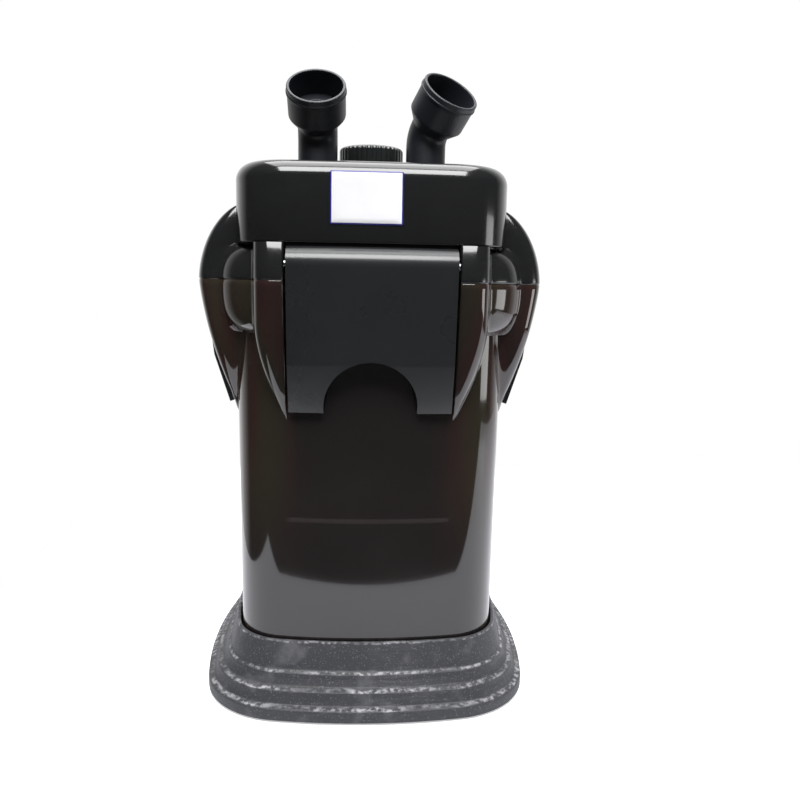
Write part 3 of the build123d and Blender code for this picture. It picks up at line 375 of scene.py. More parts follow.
def pump_head(material):
    """Head: rings from the split to the shoulders' top, with shoulders at the two sides only."""
    flange_z = SPLIT_Z + FLANGE[0]
    z = np.concatenate([
        [SPLIT_Z, SPLIT_Z + EDGE_GAP, SPLIT_Z + 2, flange_z, flange_z + 0.02],
        SPLIT_Z + np.linspace(5, 18, 9), SPLIT_Z + np.linspace(19, 21.9, 8),
        [COVER_Z - 0.6, COVER_Z - 0.15, COVER_Z - 0.05], np.linspace(COVER_Z + 1, SHOULDER_TOP_Z - 4, 14),
        SHOULDER_TOP_Z - np.array([3, 2, 1.2, 0.6, 0.2, 0])])
    reaches = []
    for tall in (True, False, True, False):
        reach = head_reach(z, tall)
        reach[0] -= EDGE_GAP
        reaches.append(reach)
    vertices, faces = loft(body_rings(reaches, z))
    mesh_piece("pump_head_shell", vertices, faces, material, "filter", "pump_head", 50)


# ---- head cover ----
def cover_outline(radius):
    """Outline of the cover for each corner radius: four bowed sides, arcs that meet four round corners.

    A side is an arc whose middle lies far behind the axis, and a corner is an arc round the
    corner's own middle; the radius is added to both, so they stay tangent.
    """
    cx, cy = COVER_HALF_X - 38.5, 71.0
    behind_x, behind_y = 1627.0, 865.0
    radius = np.atleast_1d(radius)[:, None]
    far_x, far_y = hypot(cx + behind_x, cy), hypot(cx, cy + behind_y)
    turn_x, turn_y = atan2(cy, cx + behind_x), atan2(cx, cy + behind_y)
    count = 22
    bow_x = np.linspace(-turn_x, turn_x, 16, endpoint=False)
    round_ = np.linspace(turn_x, pi / 2 - turn_y, count, endpoint=False)
    bow_y = np.linspace(turn_y, -turn_y, 16, endpoint=False)
    side = np.stack([(far_x + radius) * np.cos(bow_x) - behind_x, (far_x + radius) * np.sin(bow_x)], -1)
    corner = np.stack([cx + radius * np.cos(round_), cy + radius * np.sin(round_)], -1)
    back = np.stack([(far_y + radius) * np.sin(bow_y), (far_y + radius) * np.cos(bow_y) - behind_y], -1)
    onward = round_[::-1] + (pi / 2 - turn_y - turn_x) / count
    other = np.stack([-(cx + radius * np.cos(onward)), cy + radius * np.sin(onward)], -1)
    half = np.concatenate([side, corner, back, other], 1)
    return np.concatenate([half, -half], 1)


def cut_hole(piece, x, y, radius, depth):
    """Take an upright round hole of this depth out of the cover's top."""
    path = rounded_path([(radius, COVER_TOP_Z - depth, 0), (radius, COVER_TOP_Z + 6, 0)])
    points, sides = loft(revolved(path, 96))
    drill = bpy.data.meshes.new("drill")
    drill.from_pydata(((points + np.array([x, y, 0])) * MM).tolist(), [], sides)
    tool = bpy.data.objects.new("drill", drill)
    bpy.context.scene.collection.objects.link(tool)
    cut = piece.modifiers.new("cut", "BOOLEAN")
    cut.operation = "DIFFERENCE"
    cut.solver = "EXACT"
    cut.object = tool
    graph = bpy.context.evaluated_depsgraph_get()
    made = bpy.data.meshes.new_from_object(piece.evaluated_get(graph))
    piece.modifiers.clear()
    piece.data = made
    bpy.data.objects.remove(tool)


def cover(material):
    """Outline carried up a profile with a small lower edge and a wide upper round, then in flat on top."""
    corner, edge, top_round = 37.0, 1.2, 11.0
    path = rounded_path([(corner - 6, COVER_Z, 0), (corner, COVER_Z, edge),
                         (corner, COVER_TOP_Z, top_round), (corner - 13, COVER_TOP_Z, 0)], 0.8)
    outline = cover_outline(path[:, 0])
    rings = np.concatenate([outline, path[:, 1][:, None, None] + 0 * outline[..., :1]], -1)
    shrink = np.array([0.8, 0.55, 0.3, 0.1])[:, None, None]
    top = rings[-1][None] * np.concatenate([shrink, shrink, 0 * shrink + 1], -1)
    bottom = rings[0][None] * np.array([[[0.5, 0.5, 1.0]]])
    vertices, faces = loft(np.concatenate([bottom, rings, top]))
    piece = mesh_piece("head_cover_shell", vertices, faces, material, "filter", "head_cover",
                       35)
    cut_hole(piece, 0, KNOB_Y, KNOB_RADIUS + 0.6, 28.0)
    for x in (-PORT_X, PORT_X):
        cut_hole(piece, x, PORT_Y, NECK_RADIUS + 0.3, 12.0)
    piece.data.shade_smooth()
    piece.data.set_sharp_from_angle(angle=radians(35))


def ring_surface(rings):
    """Quads round a closed (rows, columns, 3) tube whose last row repeats its first."""
    rings = rings[:-1]
    rows, columns = rings.shape[:2]
    i = np.arange(rows)[:, None]
    j = np.arange(columns)[None, :]
    up, on = (i + 1) % rows, (j + 1) % columns
    quads = np.stack([i * columns + j, i * columns + on, up * columns + on, up * columns + j], -1)
    return rings.reshape(-1, 3), quads.reshape(-1, 4).tolist()


def port_rims(material):
    """Low raised ring on the cover round each neck: a small rounded section turned about the neck's axis."""
    inner = NECK_RADIUS + 0.4
    outer, foot, top = inner + RIM_WIDTH, COVER_TOP_Z - 1, COVER_TOP_Z + RIM_HEIGHT
    path = rounded_path([(inner, foot, 0), (inner, top, 0.4), (outer, top, 1.2), (outer, foot, 0),
                         (inner, foot, 0)], 0.3)
    for name, x in (("intake_rim", -PORT_X), ("outlet_rim", PORT_X)):
        vertices, faces = ring_surface(revolved(path[::-1], 72) + np.array([x, PORT_Y, 0]))
        mesh_piece(name, vertices, faces, material, "filter", None)


# ---- stand ----
def stand(material):
    """Body outline carried up the skirt: upright band, two soft ridges and a steep cove to the rim."""
    pocket = can_half(STAND_TOP) + 1.3
    h = STAND_HALF
    path = rounded_path([
        (h - 3.6, STAND_LIFT, 0), (h, STAND_LIFT, 1.0), (h, 9.8, 2.0), (h - 4.6, 11.2, 1.5),
        (h - 6.2, 15.8, 2.0), (h - 6.9, 19.4, 1.4), (h - 11.2, 21.0, 2.0), (h - 13.4, 25.6, 2.0),
        (h - 14.0, 28.4, 1.4), (h - 16.6, 29.8, 3.5), (pocket + 2.2, STAND_TOP, 0.9),
        (pocket, STAND_TOP, 0.7), (pocket, SEAT_Z, 0), (pocket - 20, SEAT_Z, 0)], 0.5)
    reach = plan_reach(path[:, 0])
    reach = np.concatenate([plan_reach(np.array([h - 16.0, h - 3.6])), reach])
    heights = np.concatenate([[SEAT_Z - 3, SEAT_Z - 3], path[:, 1]])
    vertices, faces = loft(body_rings([reach] * 4, heights))
    mesh_piece("stand_skirt", vertices, faces, material, "filter", "base_stand", 60)


# ---- latches ----
def latch_path():
    """Outer line of the latch from its top edge over the knuckle, down the face and in along the foot."""
    crease = np.array([PIN_REACH + 3.7, LATCH_FOOT_Z + 32.5])
    foot = np.array([FOOT_HALF + 6.3, LATCH_FOOT_Z])
    slope = (HOUSING_REACH - crease[0]) / (PIN_Z - crease[1])
    corner = (crease[0] + slope * (LATCH_TOP_Z - crease[1]), LATCH_TOP_Z)
    return rounded_path([(PIN_REACH - 1.0, LATCH_TOP_Z, 0), (*corner, 11.0), (*crease, 4.0), (*foot, 0)], 0.8)


def run_lengths(path):
    """Length along a path from its first point to each point."""
    step = np.linalg.norm(np.diff(path, axis=0), axis=1)
    return np.concatenate([[0], np.cumsum(step)])


def along(path, lengths):
    """Points at these lengths along a path, with the normals on the outer side of the plate."""
    total = run_lengths(path)
    x = np.interp(lengths, total, path[:, 0])
    y = np.interp(lengths, total, path[:, 1])
    reach = 0.25
    ahead, behind = lengths + reach, lengths - reach
    dx = np.interp(ahead, total, path[:, 0]) - np.interp(behind, total, path[:, 0])
    dy = np.interp(ahead, total, path[:, 1]) - np.interp(behind, total, path[:, 1])
    size = np.hypot(dx, dy)
    return x, y, -dy / size, dx / size


def latch(side, material, turn):
    """Curved plate: its path swept across with the housing's bulge, its foot ended by a round thumb cut-out.

    Each column follows the path to its own end: the foot, or the cut-out's circle above it. The
    inner skin lies the plate's thickness in along the normals, and strips close both sides.
    """
    path = latch_path()
    total = run_lengths(path)
    thumb, thumb_z, skin, edge = 30.2, LATCH_FOOT_Z + 3.8, 3.0, 0.01
    clear_z = thumb_z + thumb + 2.0
    t = np.concatenate([np.linspace(-LATCH_HALF, -thumb - edge, 10),
                        -thumb * np.cos(np.linspace(edge, pi - edge, 41)),
                        np.linspace(thumb + edge, LATCH_HALF, 10)])
    cut_z = thumb_z + np.sqrt(np.maximum(thumb**2 - t**2, 0))
    end_z = np.where(np.abs(t) < thumb, cut_z, LATCH_FOOT_Z)
    keep = np.interp(-clear_z, -path[3:, 1], total[3:])
    end = np.interp(-end_z, -path[3:, 1], total[3:])
    rows = np.concatenate([np.linspace(0, 20, 24), np.linspace(21, keep, 22)])
    lengths = np.concatenate([rows[:, None] + 0 * t, keep + np.linspace(0, 1, 27)[1:, None] * (end - keep)])
    e, z, nx, nz = along(path, lengths)
    sag = t**2 / (2 * BULGE)
    outer = np.stack([e - sag, t + 0 * e, z], -1)
    inner = np.stack([e - sag - nx * skin, t + 0 * e, z - nz * skin], -1)
    loop = np.concatenate([outer, inner[::-1]])
    count, columns = loop.shape[:2]
    i = np.arange(count)[:, None] * columns
    up = (np.arange(count)[:, None] + 1) % count * columns
    j = np.arange(columns - 1)[None, :]
    quads = np.stack([i + j, up + j, up + j + 1, i + j + 1], -1).reshape(-1, 4)
    k = np.arange(len(lengths) - 1)
    far = count - 1 - k
    left = np.stack([k, far, far - 1, k + 1], -1) * columns
    right = np.stack([k, k + 1, far - 1, far], -1) * columns + columns - 1
    faces = quads.tolist() + left.tolist() + right.tolist()
    piece = mesh_piece(f"{side}_latch_plate", turned(loop.reshape(-1, 3), turn), faces, material,
                       f"{side}_latch", f"latch_{side}", 45)
    bevel = piece.modifiers.new("edge", "BEVEL")
    bevel.width = 0.5 * MM
    bevel.segments = 2
    bevel.limit_method = "ANGLE"
    bevel.angle_limit = radians(50)


def prism(outline, y0, y1):
    """Closed prism across a latch: a (reach, height) outline carried from y0 to y1."""
    reach, height = outline.T
    return loft(np.stack([np.stack([reach, 0 * reach + y, height], -1) for y in (y0, y1)]))


def latch_hinge(side, material, turn):
    """Three lugs round the pin and the hook bar that catches under the canister's ledge."""
    lug_half, lug_out, lug_width, hook_half = 5.2, 6.0, 4.0, 30.0
    lug = rounded_path([
        (PIN_REACH - lug_half, PIN_Z - lug_half, 5.1), (PIN_REACH + lug_out, PIN_Z - lug_half, 0.3),
        (PIN_REACH + lug_out, PIN_Z + lug_half, 0.3), (PIN_REACH - lug_half, PIN_Z + lug_half, 5.1)],
        0.8, closed=True)
    hook_top, hook_low = LEDGE_Z - 0.5, LEDGE_Z - 6.0
    tip, root = FOOT_HALF + 5.0, HOUSING_REACH - 6.0
    hook = rounded_path([(tip, hook_low, 1.0), (root, hook_low, 0.3), (root, hook_top, 0.3),
                         (tip, hook_top, 0.6)], 0.5, closed=True)
    places = (8 - LATCH_HALF, 0, LATCH_HALF - 8)
    spans = [(lug, y - lug_width, y + lug_width) for y in places] + [(hook, -hook_half, hook_half)]
    vertices, faces = [], []
    for outline, y0, y1 in spans:
        points, sides = prism(outline[::-1], y0, y1)
        base = sum(len(v) for v in vertices)
        vertices.append(points)
        faces += [[n + base for n in around] for around in sides]
    mesh_piece(f"{side}_latch_hinge", turned(np.concatenate(vertices), turn), faces, material,
               f"{side}_latch", None)


# ---- hose elbows ----
def elbow(name, material, x, turn, body):
    """Rings square to a path up the neck, round the bend and along the tilted cup, then back inside.

    The profile gives each ring's length along the path and its radius. The path rises, turns
    through the tilt by an arc, and runs on straight.
    """
    start_z, bend_z = COVER_TOP_Z - 14, COVER_TOP_Z + 30
    bend, tilt, cup_length = 18.0, radians(45), 38.0
    bore, cup_bore, cup_depth, lip = 10.5, CUP_RADIUS - 1.9, 18.0, CUP_RADIUS + 0.2
    rise = bend_z - bend * tan(tilt / 2) - start_z
    arc = bend * tilt
    origin = rise + arc - bend * tan(tilt / 2)
    rim = origin + cup_length
    profile = rounded_path([
        (0, NECK_RADIUS, 0), (origin + 8, NECK_RADIUS, 2.5), (origin + 16, CUP_RADIUS, 2.5),
        (rim - 5.4, CUP_RADIUS, 0.2), (rim - 4.9, lip + 0.5, 0.3), (rim - 3.9, lip + 0.5, 0.3),
        (rim - 3.4, lip, 0.2), (rim, lip, 0.8), (rim, cup_bore, 0.6), (rim - cup_depth, cup_bore, 0),
        (rim - cup_depth, bore, 0.5), (4, bore, 0)], 0.3)
    fine = [profile[0]]
    for a, b in zip(profile[:-1], profile[1:]):
        parts = max(1, int(np.linalg.norm(b - a) / 1.6))
        fine += [a + (b - a) * k / parts for k in range(1, parts + 1)]
    s, r = np.array(fine).T
    angle = np.clip((s - rise) / bend, 0, tilt)
    past = np.maximum(s - rise - arc, 0)
    y = -bend * (1 - np.cos(angle)) - past * np.sin(angle)
    z = start_z + np.minimum(s, rise) + bend * np.sin(angle) + past * np.cos(angle)
    phi = np.linspace(0, 2 * pi, 80, endpoint=False)
    across, lean = np.cos(phi)[None, :] * r[:, None], np.sin(phi)[None, :] * r[:, None]
    cosine, sine = np.cos(angle)[:, None], np.sin(angle)[:, None]
    rings = np.stack([across, y[:, None] + lean * cosine, z[:, None] + lean * sine], -1)
    vertices, faces = loft(rings)
    vertices = turned(vertices, turn) + np.array([x, PORT_Y, 0])
    mesh_piece(name, vertices, faces, material, body, name.replace("_cup", "_elbow"), 50)


# ---- priming knob ----
def knob(material):
    """Disc with a rounded, faintly dished top; its radius ripples as moulded ribs that fade in from the rim.

    A rib is a raised cosine of the angle, clipped to leave a flat crest; between crests the radius
    is one millimetre less.
    """
    ribs, points_per_rib, groove = 36, 10, 1.0
    dish_z = KNOB_TOP_Z - 0.9
    path = rounded_path([(20.0, KNOB_LOW_Z, 0), (KNOB_RADIUS, KNOB_LOW_Z, 0.8), (KNOB_RADIUS, KNOB_TOP_Z, 3.0),
                         (17.0, KNOB_TOP_Z, 1.0), (15.5, dish_z, 1.0), (1.0, dish_z, 0)], 0.5)
    count = ribs * points_per_rib
    rings = revolved(path, count)
    turn = np.linspace(0, 2 * pi, count, endpoint=False)
    rib = np.clip((0.5 - 0.5 * np.cos(ribs * turn)) * 1.6, 0, 1)
    outward = np.clip((path[:, 0] - 19.5) / 2.5, 0, 1)
    upward = np.clip((path[:, 1] - COVER_TOP_Z + 8) / 4, 0, 1)
    scale = 1 - (outward * upward)[:, None] * (1 - rib)[None, :] * groove / KNOB_RADIUS
    rings[..., :2] *= scale[..., None]
    vertices, faces = loft(rings)
    mesh_piece("primer_button", vertices + np.array([0, KNOB_Y, 0]), faces, material, "primer_knob",
               "priming_knob", 50)


# ---- badge ----
def badge(material):
    """Thin blank plate with small rounded corners that follows the bow of the cover's front.

    Each ring is the outline drawn in by an inset and set back from the bow by a depth.
    """
    lo, hi = low("name_plate"), high("name_plate")
    front_bow = 974.5
    outline = rounded_path([(lo[0], lo[2], 1.0), (hi[0], lo[2], 1.0), (hi[0], hi[2], 1.0), (lo[0], hi[2], 1.0)],
                           0.3, closed=True)
    middle = outline.mean(0)
    half = np.array([hi[0] - lo[0], hi[2] - lo[2]]) / 2
    rings = []
    for inset, depth in ((0, 0.6), (0, -0.5), (0.25, -0.72), (4.0, -0.72), (14.0, -0.72)):
        ring = middle + (outline - middle) * (half - inset) / half
        bow = COVER_HALF_Y - ring[:, 0] ** 2 / (2 * front_bow)
        rings.append(np.stack([ring[:, 0], -bow + depth, ring[:, 1]], -1))
    vertices, faces = loft(np.array(rings))
    mesh_piece("blank_badge", vertices, faces, material, "filter", "name_plate")


# ---- cable gland ----
def gland(material):
    """Ribbed dome nut of revolution about the lead's axis, with its bore; its grip ripples as a cosine."""
    lo, hi = low("cable_gland"), high("cable_gland")
    x, z = (lo[0] + hi[0]) / 2, (lo[2] + hi[2]) / 2
    start = COVER_HALF_Y - 2.5
    reach = hi[1] - start
    bore, thread, grip_radius, root = 3.6, 6.6, 9.0, -6.0
    path = rounded_path([(bore, root, 0), (thread, root, 0), (thread, 0, 0), (grip_radius, 0, 0),
                         (grip_radius, reach - 4, 0.8), (6.5, reach, 2.0), (bore, reach, 0.5),
                         (bore, root, 0)], 0.4)
    count = 144
    rings = revolved(path, count)
    turn = np.linspace(0, 2 * pi, count, endpoint=False)
    grip = np.clip((path[:, 0] - 8.0) / 0.6, 0, 1)[:, None] * (0.5 - 0.5 * np.cos(12 * turn))[None, :]
    rings[..., :2] *= (1 - 0.06 * grip)[..., None]
    points, faces = ring_surface(rings)
    vertices = np.stack([points[:, 0] + x, points[:, 2] + start, z - points[:, 1]], -1)
    mesh_piece("lead_gland", vertices, faces, material, "filter", "cable_gland")


# ---- shader groups ----
def shader_group(name, inputs, outputs):
    """Empty node group with float, colour or vector sockets."""
    kinds = {"float": "NodeSocketFloat", "color": "NodeSocketColor", "vector": "NodeSocketVector"}
    group = bpy.data.node_groups.new(name, "ShaderNodeTree")
    for label, kind, value in inputs:
        socket = group.interface.new_socket(label, in_out="INPUT", socket_type=kinds[kind])
        socket.default_value = value
    for label, kind in outputs:
        group.interface.new_socket(label, in_out="OUTPUT", socket_type=kinds[kind])
    return group, group.nodes.new("NodeGroupInput"), group.nodes.new("NodeGroupOutput")


def noise(group, coords, scale, detail, stretch=(1, 1, 1)):
    """Object-space noise, stretched along an axis where asked."""
    mapping = group.nodes.new("ShaderNodeMapping")
    mapping.inputs["Scale"].default_value = stretch
    group.links.new(coords, mapping.inputs["Vector"])
    node = group.nodes.new("ShaderNodeTexNoise")
    group.links.new(mapping.outputs["Vector"], node.inputs["Vector"])
    if isinstance(scale, (int, float)):
        node.inputs["Scale"].default_value = scale
    else:
        group.links.new(scale, node.inputs["Scale"])
    node.inputs["Detail"].default_value = detail
    return node.outputs["Fac"]


def ranged(group, value, start, end, out_start=0.0, out_end=1.0):
    """Value mapped from one range to another and clamped."""
    node = group.nodes.new("ShaderNodeMapRange")
    group.links.new(value, node.inputs["Value"])
    limits = {"From Min": start, "From Max": end, "To Min": out_start, "To Max": out_end}
    for label, number in limits.items():
        node.inputs[label].default_value = number
    return node.outputs["Result"]


def math(group, operation, a, b):
    """One math node; numbers or sockets go in."""
    node = group.nodes.new("ShaderNodeMath")
    node.operation = operation
    for slot, value in zip(node.inputs, (a, b)):
        if isinstance(value, (int, float)):
            slot.default_value = value
        else:
            group.links.new(value, slot)
    return node.outputs[0]


def absolute(group, value):
    """Size of a value without its sign."""
    return math(group, "ABSOLUTE", value, 0.0)


def mixed(group, factor, a, b):
    """Colour mix; colours or sockets go in."""
    node = group.nodes.new("ShaderNodeMix")
    node.data_type = "RGBA"
    group.links.new(factor, node.inputs["Factor"])
    for slot, value in ((node.inputs[6], a), (node.inputs[7], b)):
        if isinstance(value, tuple):
            slot.default_value = value
        else:
            group.links.new(value, slot)
    return node.outputs[2]


def moulded_group():
    """Moulded plastic: cloudy tone, rubbed patches, fine scratches, rubbed edges, and a fine skin height."""
    group, source, sink = shader_group("moulded_skin", [
        ("Color", "color", (0.02, 0.02, 0.02, 1)), ("Rubbed Color", "color", (0.1, 0.1, 0.1, 1)),
        ("Rub", "float", 0.2), ("Edge Rub", "float", 0.2), ("Grain Scale", "float", 900.0),
        ("Roughness", "float", 0.2),
    ], [("Color", "color"), ("Roughness", "float"), ("Height", "float")])
    coords = group.nodes.new("ShaderNodeTexCoord").outputs["Object"]
    cloud = noise(group, coords, 14.0, 4.0)
    scratch = noise(group, coords, 60.0, 6.0, (1.0, 1.0, 14.0))
    patch = noise(group, coords, 26.0, 8.0)
    grain = noise(group, coords, source.outputs["Grain Scale"], 2.0)
    rubbed = math(group, "MULTIPLY", ranged(group, patch, 0.52, 0.72), ranged(group, scratch, 0.45, 0.62))
    rubbed = math(group, "MULTIPLY", rubbed, source.outputs["Rub"])
    geometry = group.nodes.new("ShaderNodeNewGeometry")
    edge = ranged(group, geometry.outputs["Pointiness"], 0.53, 0.60)
    edge = math(group, "MULTIPLY", edge, ranged(group, patch, 0.35, 0.6))
    edge = math(group, "MULTIPLY", edge, source.outputs["Edge Rub"])
    mask = math(group, "MAXIMUM", rubbed, edge)
    clouded = group.nodes.new("ShaderNodeVectorMath")
    clouded.operation = "SCALE"
    group.links.new(source.outputs["Color"], clouded.inputs[0])
    group.links.new(ranged(group, cloud, 0.1, 0.9, 0.8, 1.2), clouded.inputs["Scale"])
    color = mixed(group, mask, clouded.outputs[0], source.outputs["Rubbed Color"])
    group.links.new(color, sink.inputs["Color"])
    rough = math(group, "ADD", source.outputs["Roughness"], math(group, "MULTIPLY", mask, 0.25))
    rough = math(group, "ADD", rough, ranged(group, cloud, 0.1, 0.9, -0.02, 0.04))
    group.links.new(rough, sink.inputs["Roughness"])
    group.links.new(grain, sink.inputs["Height"])
    return group


MOULDED = moulded_group()


def plastic(name, color, roughness, rubbed=(0.1, 0.1, 0.1), rub=0.2, edge=0.2, grain=900.0,
            depth=0.00002, coat=0.0, coat_rough=0.05, metallic=0.0):
    """Principled plastic driven by the moulded skin group; depth is the skin's height in metres."""
    material = bpy.data.materials.new(name)
    material.use_nodes = True
    tree = material.node_tree
    shader = tree.nodes["Principled BSDF"]
    skin = tree.nodes.new("ShaderNodeGroup")
    skin.name = "skin"
    skin.node_tree = MOULDED
    values = {"Color": (*color, 1), "Rubbed Color": (*rubbed, 1), "Rub": rub, "Edge Rub": edge,
              "Grain Scale": grain, "Roughness": roughness}
    for label, value in values.items():
        skin.inputs[label].default_value = value
    bump = tree.nodes.new("ShaderNodeBump")
    bump.inputs["Strength"].default_value = 1.0
    bump.inputs["Distance"].default_value = depth
    tree.links.new(skin.outputs["Color"], shader.inputs["Base Color"])
    tree.links.new(skin.outputs["Roughness"], shader.inputs["Roughness"])
    tree.links.new(skin.outputs["Height"], bump.inputs["Height"])
    tree.links.new(bump.outputs["Normal"], shader.inputs["Normal"])
    shader.inputs["Coat Weight"].default_value = coat
    shader.inputs["Coat Roughness"].default_value = coat_rough
    shader.inputs["Metallic"].default_value = metallic
    return material


def object_coords(tree):
    """Object coordinates, whole and split into axes."""
    coords = tree.nodes.new("ShaderNodeTexCoord").outputs["Object"]
    split = tree.nodes.new("ShaderNodeSeparateXYZ")
    tree.links.new(coords, split.inputs["Vector"])
    return coords, split.outputs


def recolor(material, factor, color, under=None):
    """Lay a colour over the skin's own, or over the one given, wherever the factor says."""
    tree = material.node_tree
    under = under or tree.nodes["skin"].outputs["Color"]
    tree.links.new(mixed(tree, factor, under, color), tree.nodes["Principled BSDF"].inputs["Base Color"])


def tinted_tank():
    """Smoked tank plastic: near black face on, with brown and olive painted light where the wall is viewed at a
    grazing angle and near its upper corners, standing for light coming through the tinted wall.
    """
    material = plastic("smoked_tank", (0.014, 0.0115, 0.0115), 0.07, rubbed=(0.05, 0.05, 0.05), rub=0.08,
                       edge=0.0, grain=300.0, depth=0.000003, coat=0.5, coat_rough=0.02)
    tree = material.node_tree
    # brown and olive are the colours of painted light coming through the tinted wall; seam_grey is the basket
    # seam's own line.
    brown, olive, seam_grey = (0.055, 0.018, 0.012, 1), (0.040, 0.034, 0.016, 1), (0.045, 0.038, 0.036, 1)
    basket_seam = 0.1325
    weight = tree.nodes.new("ShaderNodeLayerWeight")
    weight.inputs["Blend"].default_value = 0.35
    coords, axes = object_coords(tree)
    sideways = math(tree, "MINIMUM", absolute(tree, axes["X"]), absolute(tree, axes["Y"]))
    streak = noise(tree, coords, 34.0, 2.0, (1.0, 1.0, 0.12))
    painted_backlight_tint = mixed(tree, ranged(tree, streak, 0.42, 0.58), brown, olive)
    # Painted light: streaked brown and olive glow through the wall near the upper corners.
    clear = math(tree, "MULTIPLY", ranged(tree, sideways, 0.040, 0.070),
                 ranged(tree, streak, 0.30, 0.45, 0.3, 0.9))
    high_up = ranged(tree, axes["Z"], 0.09, 0.16)
    # Painted light: brown and olive laid where the wall is seen at a grazing angle, standing for light coming
    # through the tint.
    painted_backlight_mask = math(tree, "MAXIMUM", ranged(tree, weight.outputs["Facing"], 0.35, 0.9),
                 math(tree, "MULTIPLY", clear, math(tree, "MULTIPLY", high_up, 0.45)))
    color_with_painted_backlight = mixed(tree, painted_backlight_mask, tree.nodes["skin"].outputs["Color"], painted_backlight_tint)
    seam = absolute(tree, math(tree, "SUBTRACT", axes["Z"], basket_seam))
    line = math(tree, "MULTIPLY", ranged(tree, seam, 0.0008, 0.0022, 1.0, 0.0),
                ranged(tree, sideways, 0.052, 0.056, 0.55, 0.0))
    recolor(material, line, seam_grey, color_with_painted_backlight)
    return material


def stand_material():
    """Coarsely grained grey plastic whose ridges are worn whitish, more in some places than in others."""
    material = plastic("stand_matte", (0.030, 0.031, 0.036), 0.52, rubbed=(0.13, 0.13, 0.14), rub=0.25,
                       edge=0.0, grain=1300.0, depth=0.00022)
    tree = material.node_tree
    coords, axes = object_coords(tree)
    wander = ranged(tree, noise(tree, coords, 60.0, 6.0), 0.3, 0.7, -0.0005, 0.0005)
    height = math(tree, "ADD", axes["Z"], wander)
    worn = None
    for ridge in (0.0105, 0.0200, 0.0292, 0.0478):
        away = absolute(tree, math(tree, "SUBTRACT", height, ridge))
        line = ranged(tree, away, 0.0002, 0.0009, 1.0, 0.0)
        worn = line if worn is None else math(tree, "MAXIMUM", worn, line)
    patches = ranged(tree, noise(tree, coords, 30.0, 3.0), 0.38, 0.60, 0.25, 1.0)
    dots = ranged(tree, noise(tree, coords, 320.0, 3.0), 0.42, 0.60)
    worn = math(tree, "MULTIPLY", worn, math(tree, "MULTIPLY", patches, dots))
    scuffs = ranged(tree, noise(tree, coords, 60.0, 10.0), 0.55, 0.80, 0.0, 0.25)
    specks = ranged(tree, noise(tree, coords, 900.0, 2.0), 0.60, 0.72, 0.0, 0.25)
    worn = math(tree, "MAXIMUM", worn, math(tree, "MAXIMUM", scuffs, specks))
    recolor(material, worn, (0.36, 0.36, 0.38, 1))
    return material


def badge_material():
    """Blank white face with a thin blue line round its border."""
    material = plastic("badge_face", (0.9, 0.9, 0.92), 0.35, rubbed=(0.8, 0.8, 0.8), rub=0.1, edge=0.0,
                       depth=0.000004)
    tree = material.node_tree
    lo, hi = low("name_plate") * MM, high("name_plate") * MM
    line = 0.0009
    _, axes = object_coords(tree)
    border = []
    for axis, index in (("X", 0), ("Z", 2)):
        middle, half = (lo[index] + hi[index]) / 2, (hi[index] - lo[index]) / 2
        away = absolute(tree, math(tree, "SUBTRACT", axes[axis], middle))
        border.append(math(tree, "GREATER_THAN", away, half - line))
    recolor(material, math(tree, "MAXIMUM", *border), (0.02, 0.02, 0.22, 1))
    return material


# ---- finishes ----
head_black = plastic("head_gloss", (0.012, 0.0125, 0.013), 0.14, rubbed=(0.06, 0.06, 0.06), rub=0.10,
                     edge=0.0, grain=700.0, depth=0.000004, coat=0.4, coat_rough=0.06)
latch_black = plastic("latch_satin", (0.018, 0.019, 0.0205), 0.27, rubbed=(0.05, 0.05, 0.055), rub=0.0,
                      edge=0.0, grain=260.0, depth=0.000002, coat=0.25, coat_rough=0.12)
cup_black = plastic("cup_satin", (0.010, 0.0115, 0.016), 0.42, rubbed=(0.05, 0.055, 0.07), edge=0.4)
knob_black = plastic("knob_gloss", (0.012, 0.014, 0.014), 0.2, rubbed=(0.08, 0.08, 0.08), rub=0.1,
                     edge=0.3, depth=0.00001, coat=0.4, coat_rough=0.1)
stand_grey = stand_material()
tank = tinted_tank()
badge_white = badge_material()
rubber = plastic("black_rubber", (0.012, 0.012, 0.012), 0.7, rubbed=(0.05, 0.05, 0.05), rub=0.3,
                 grain=1500.0, depth=0.00006)
inner_black = plastic("plain_black", (0.015, 0.015, 0.016), 0.45, rubbed=(0.05, 0.05, 0.05), depth=0.00003)
steel = plastic("bright_steel", (0.55, 0.55, 0.56), 0.28, rubbed=(0.3, 0.3, 0.3), edge=0.1, grain=2000.0,
                depth=0.00001, metallic=1.0)
copper = plastic("enamelled_copper", (0.55, 0.22, 0.10), 0.3, rubbed=(0.3, 0.12, 0.05), rub=0.3, edge=0.1,
                 grain=2500.0, depth=0.00004, metallic=1.0)
basket_grey = plastic("basket_grey", (0.06, 0.06, 0.062), 0.5, rubbed=(0.12, 0.12, 0.12), rub=0.3,
                      grain=800.0, depth=0.00004)
resin = plastic("impeller_resin", (0.03, 0.03, 0.045), 0.35)
ceramic = plastic("porous_ceramic", (0.55, 0.48, 0.38), 0.9, rubbed=(0.35, 0.28, 0.2), rub=0.8,
                  grain=1400.0, depth=0.0004)
shaft_white = plastic("shaft_ceramic", (0.8, 0.8, 0.76), 0.15, rubbed=(0.6, 0.6, 0.6), rub=0.1, edge=0.1,
                      grain=1400.0, depth=0.000005)
foam_dark = plastic("coarse_foam", (0.03, 0.04, 0.05), 0.95, rub=0.5, edge=0.0, grain=350.0, depth=0.0015)
foam_blue = plastic("medium_foam", (0.03, 0.09, 0.22), 0.95, rubbed=(0.1, 0.2, 0.3), rub=0.5, edge=0.0,
                    grain=600.0, depth=0.001)
floss = plastic("white_floss", (0.75, 0.75, 0.72), 0.95, rubbed=(0.6, 0.58, 0.5), rub=0.5, edge=0.0,
                depth=0.0008)
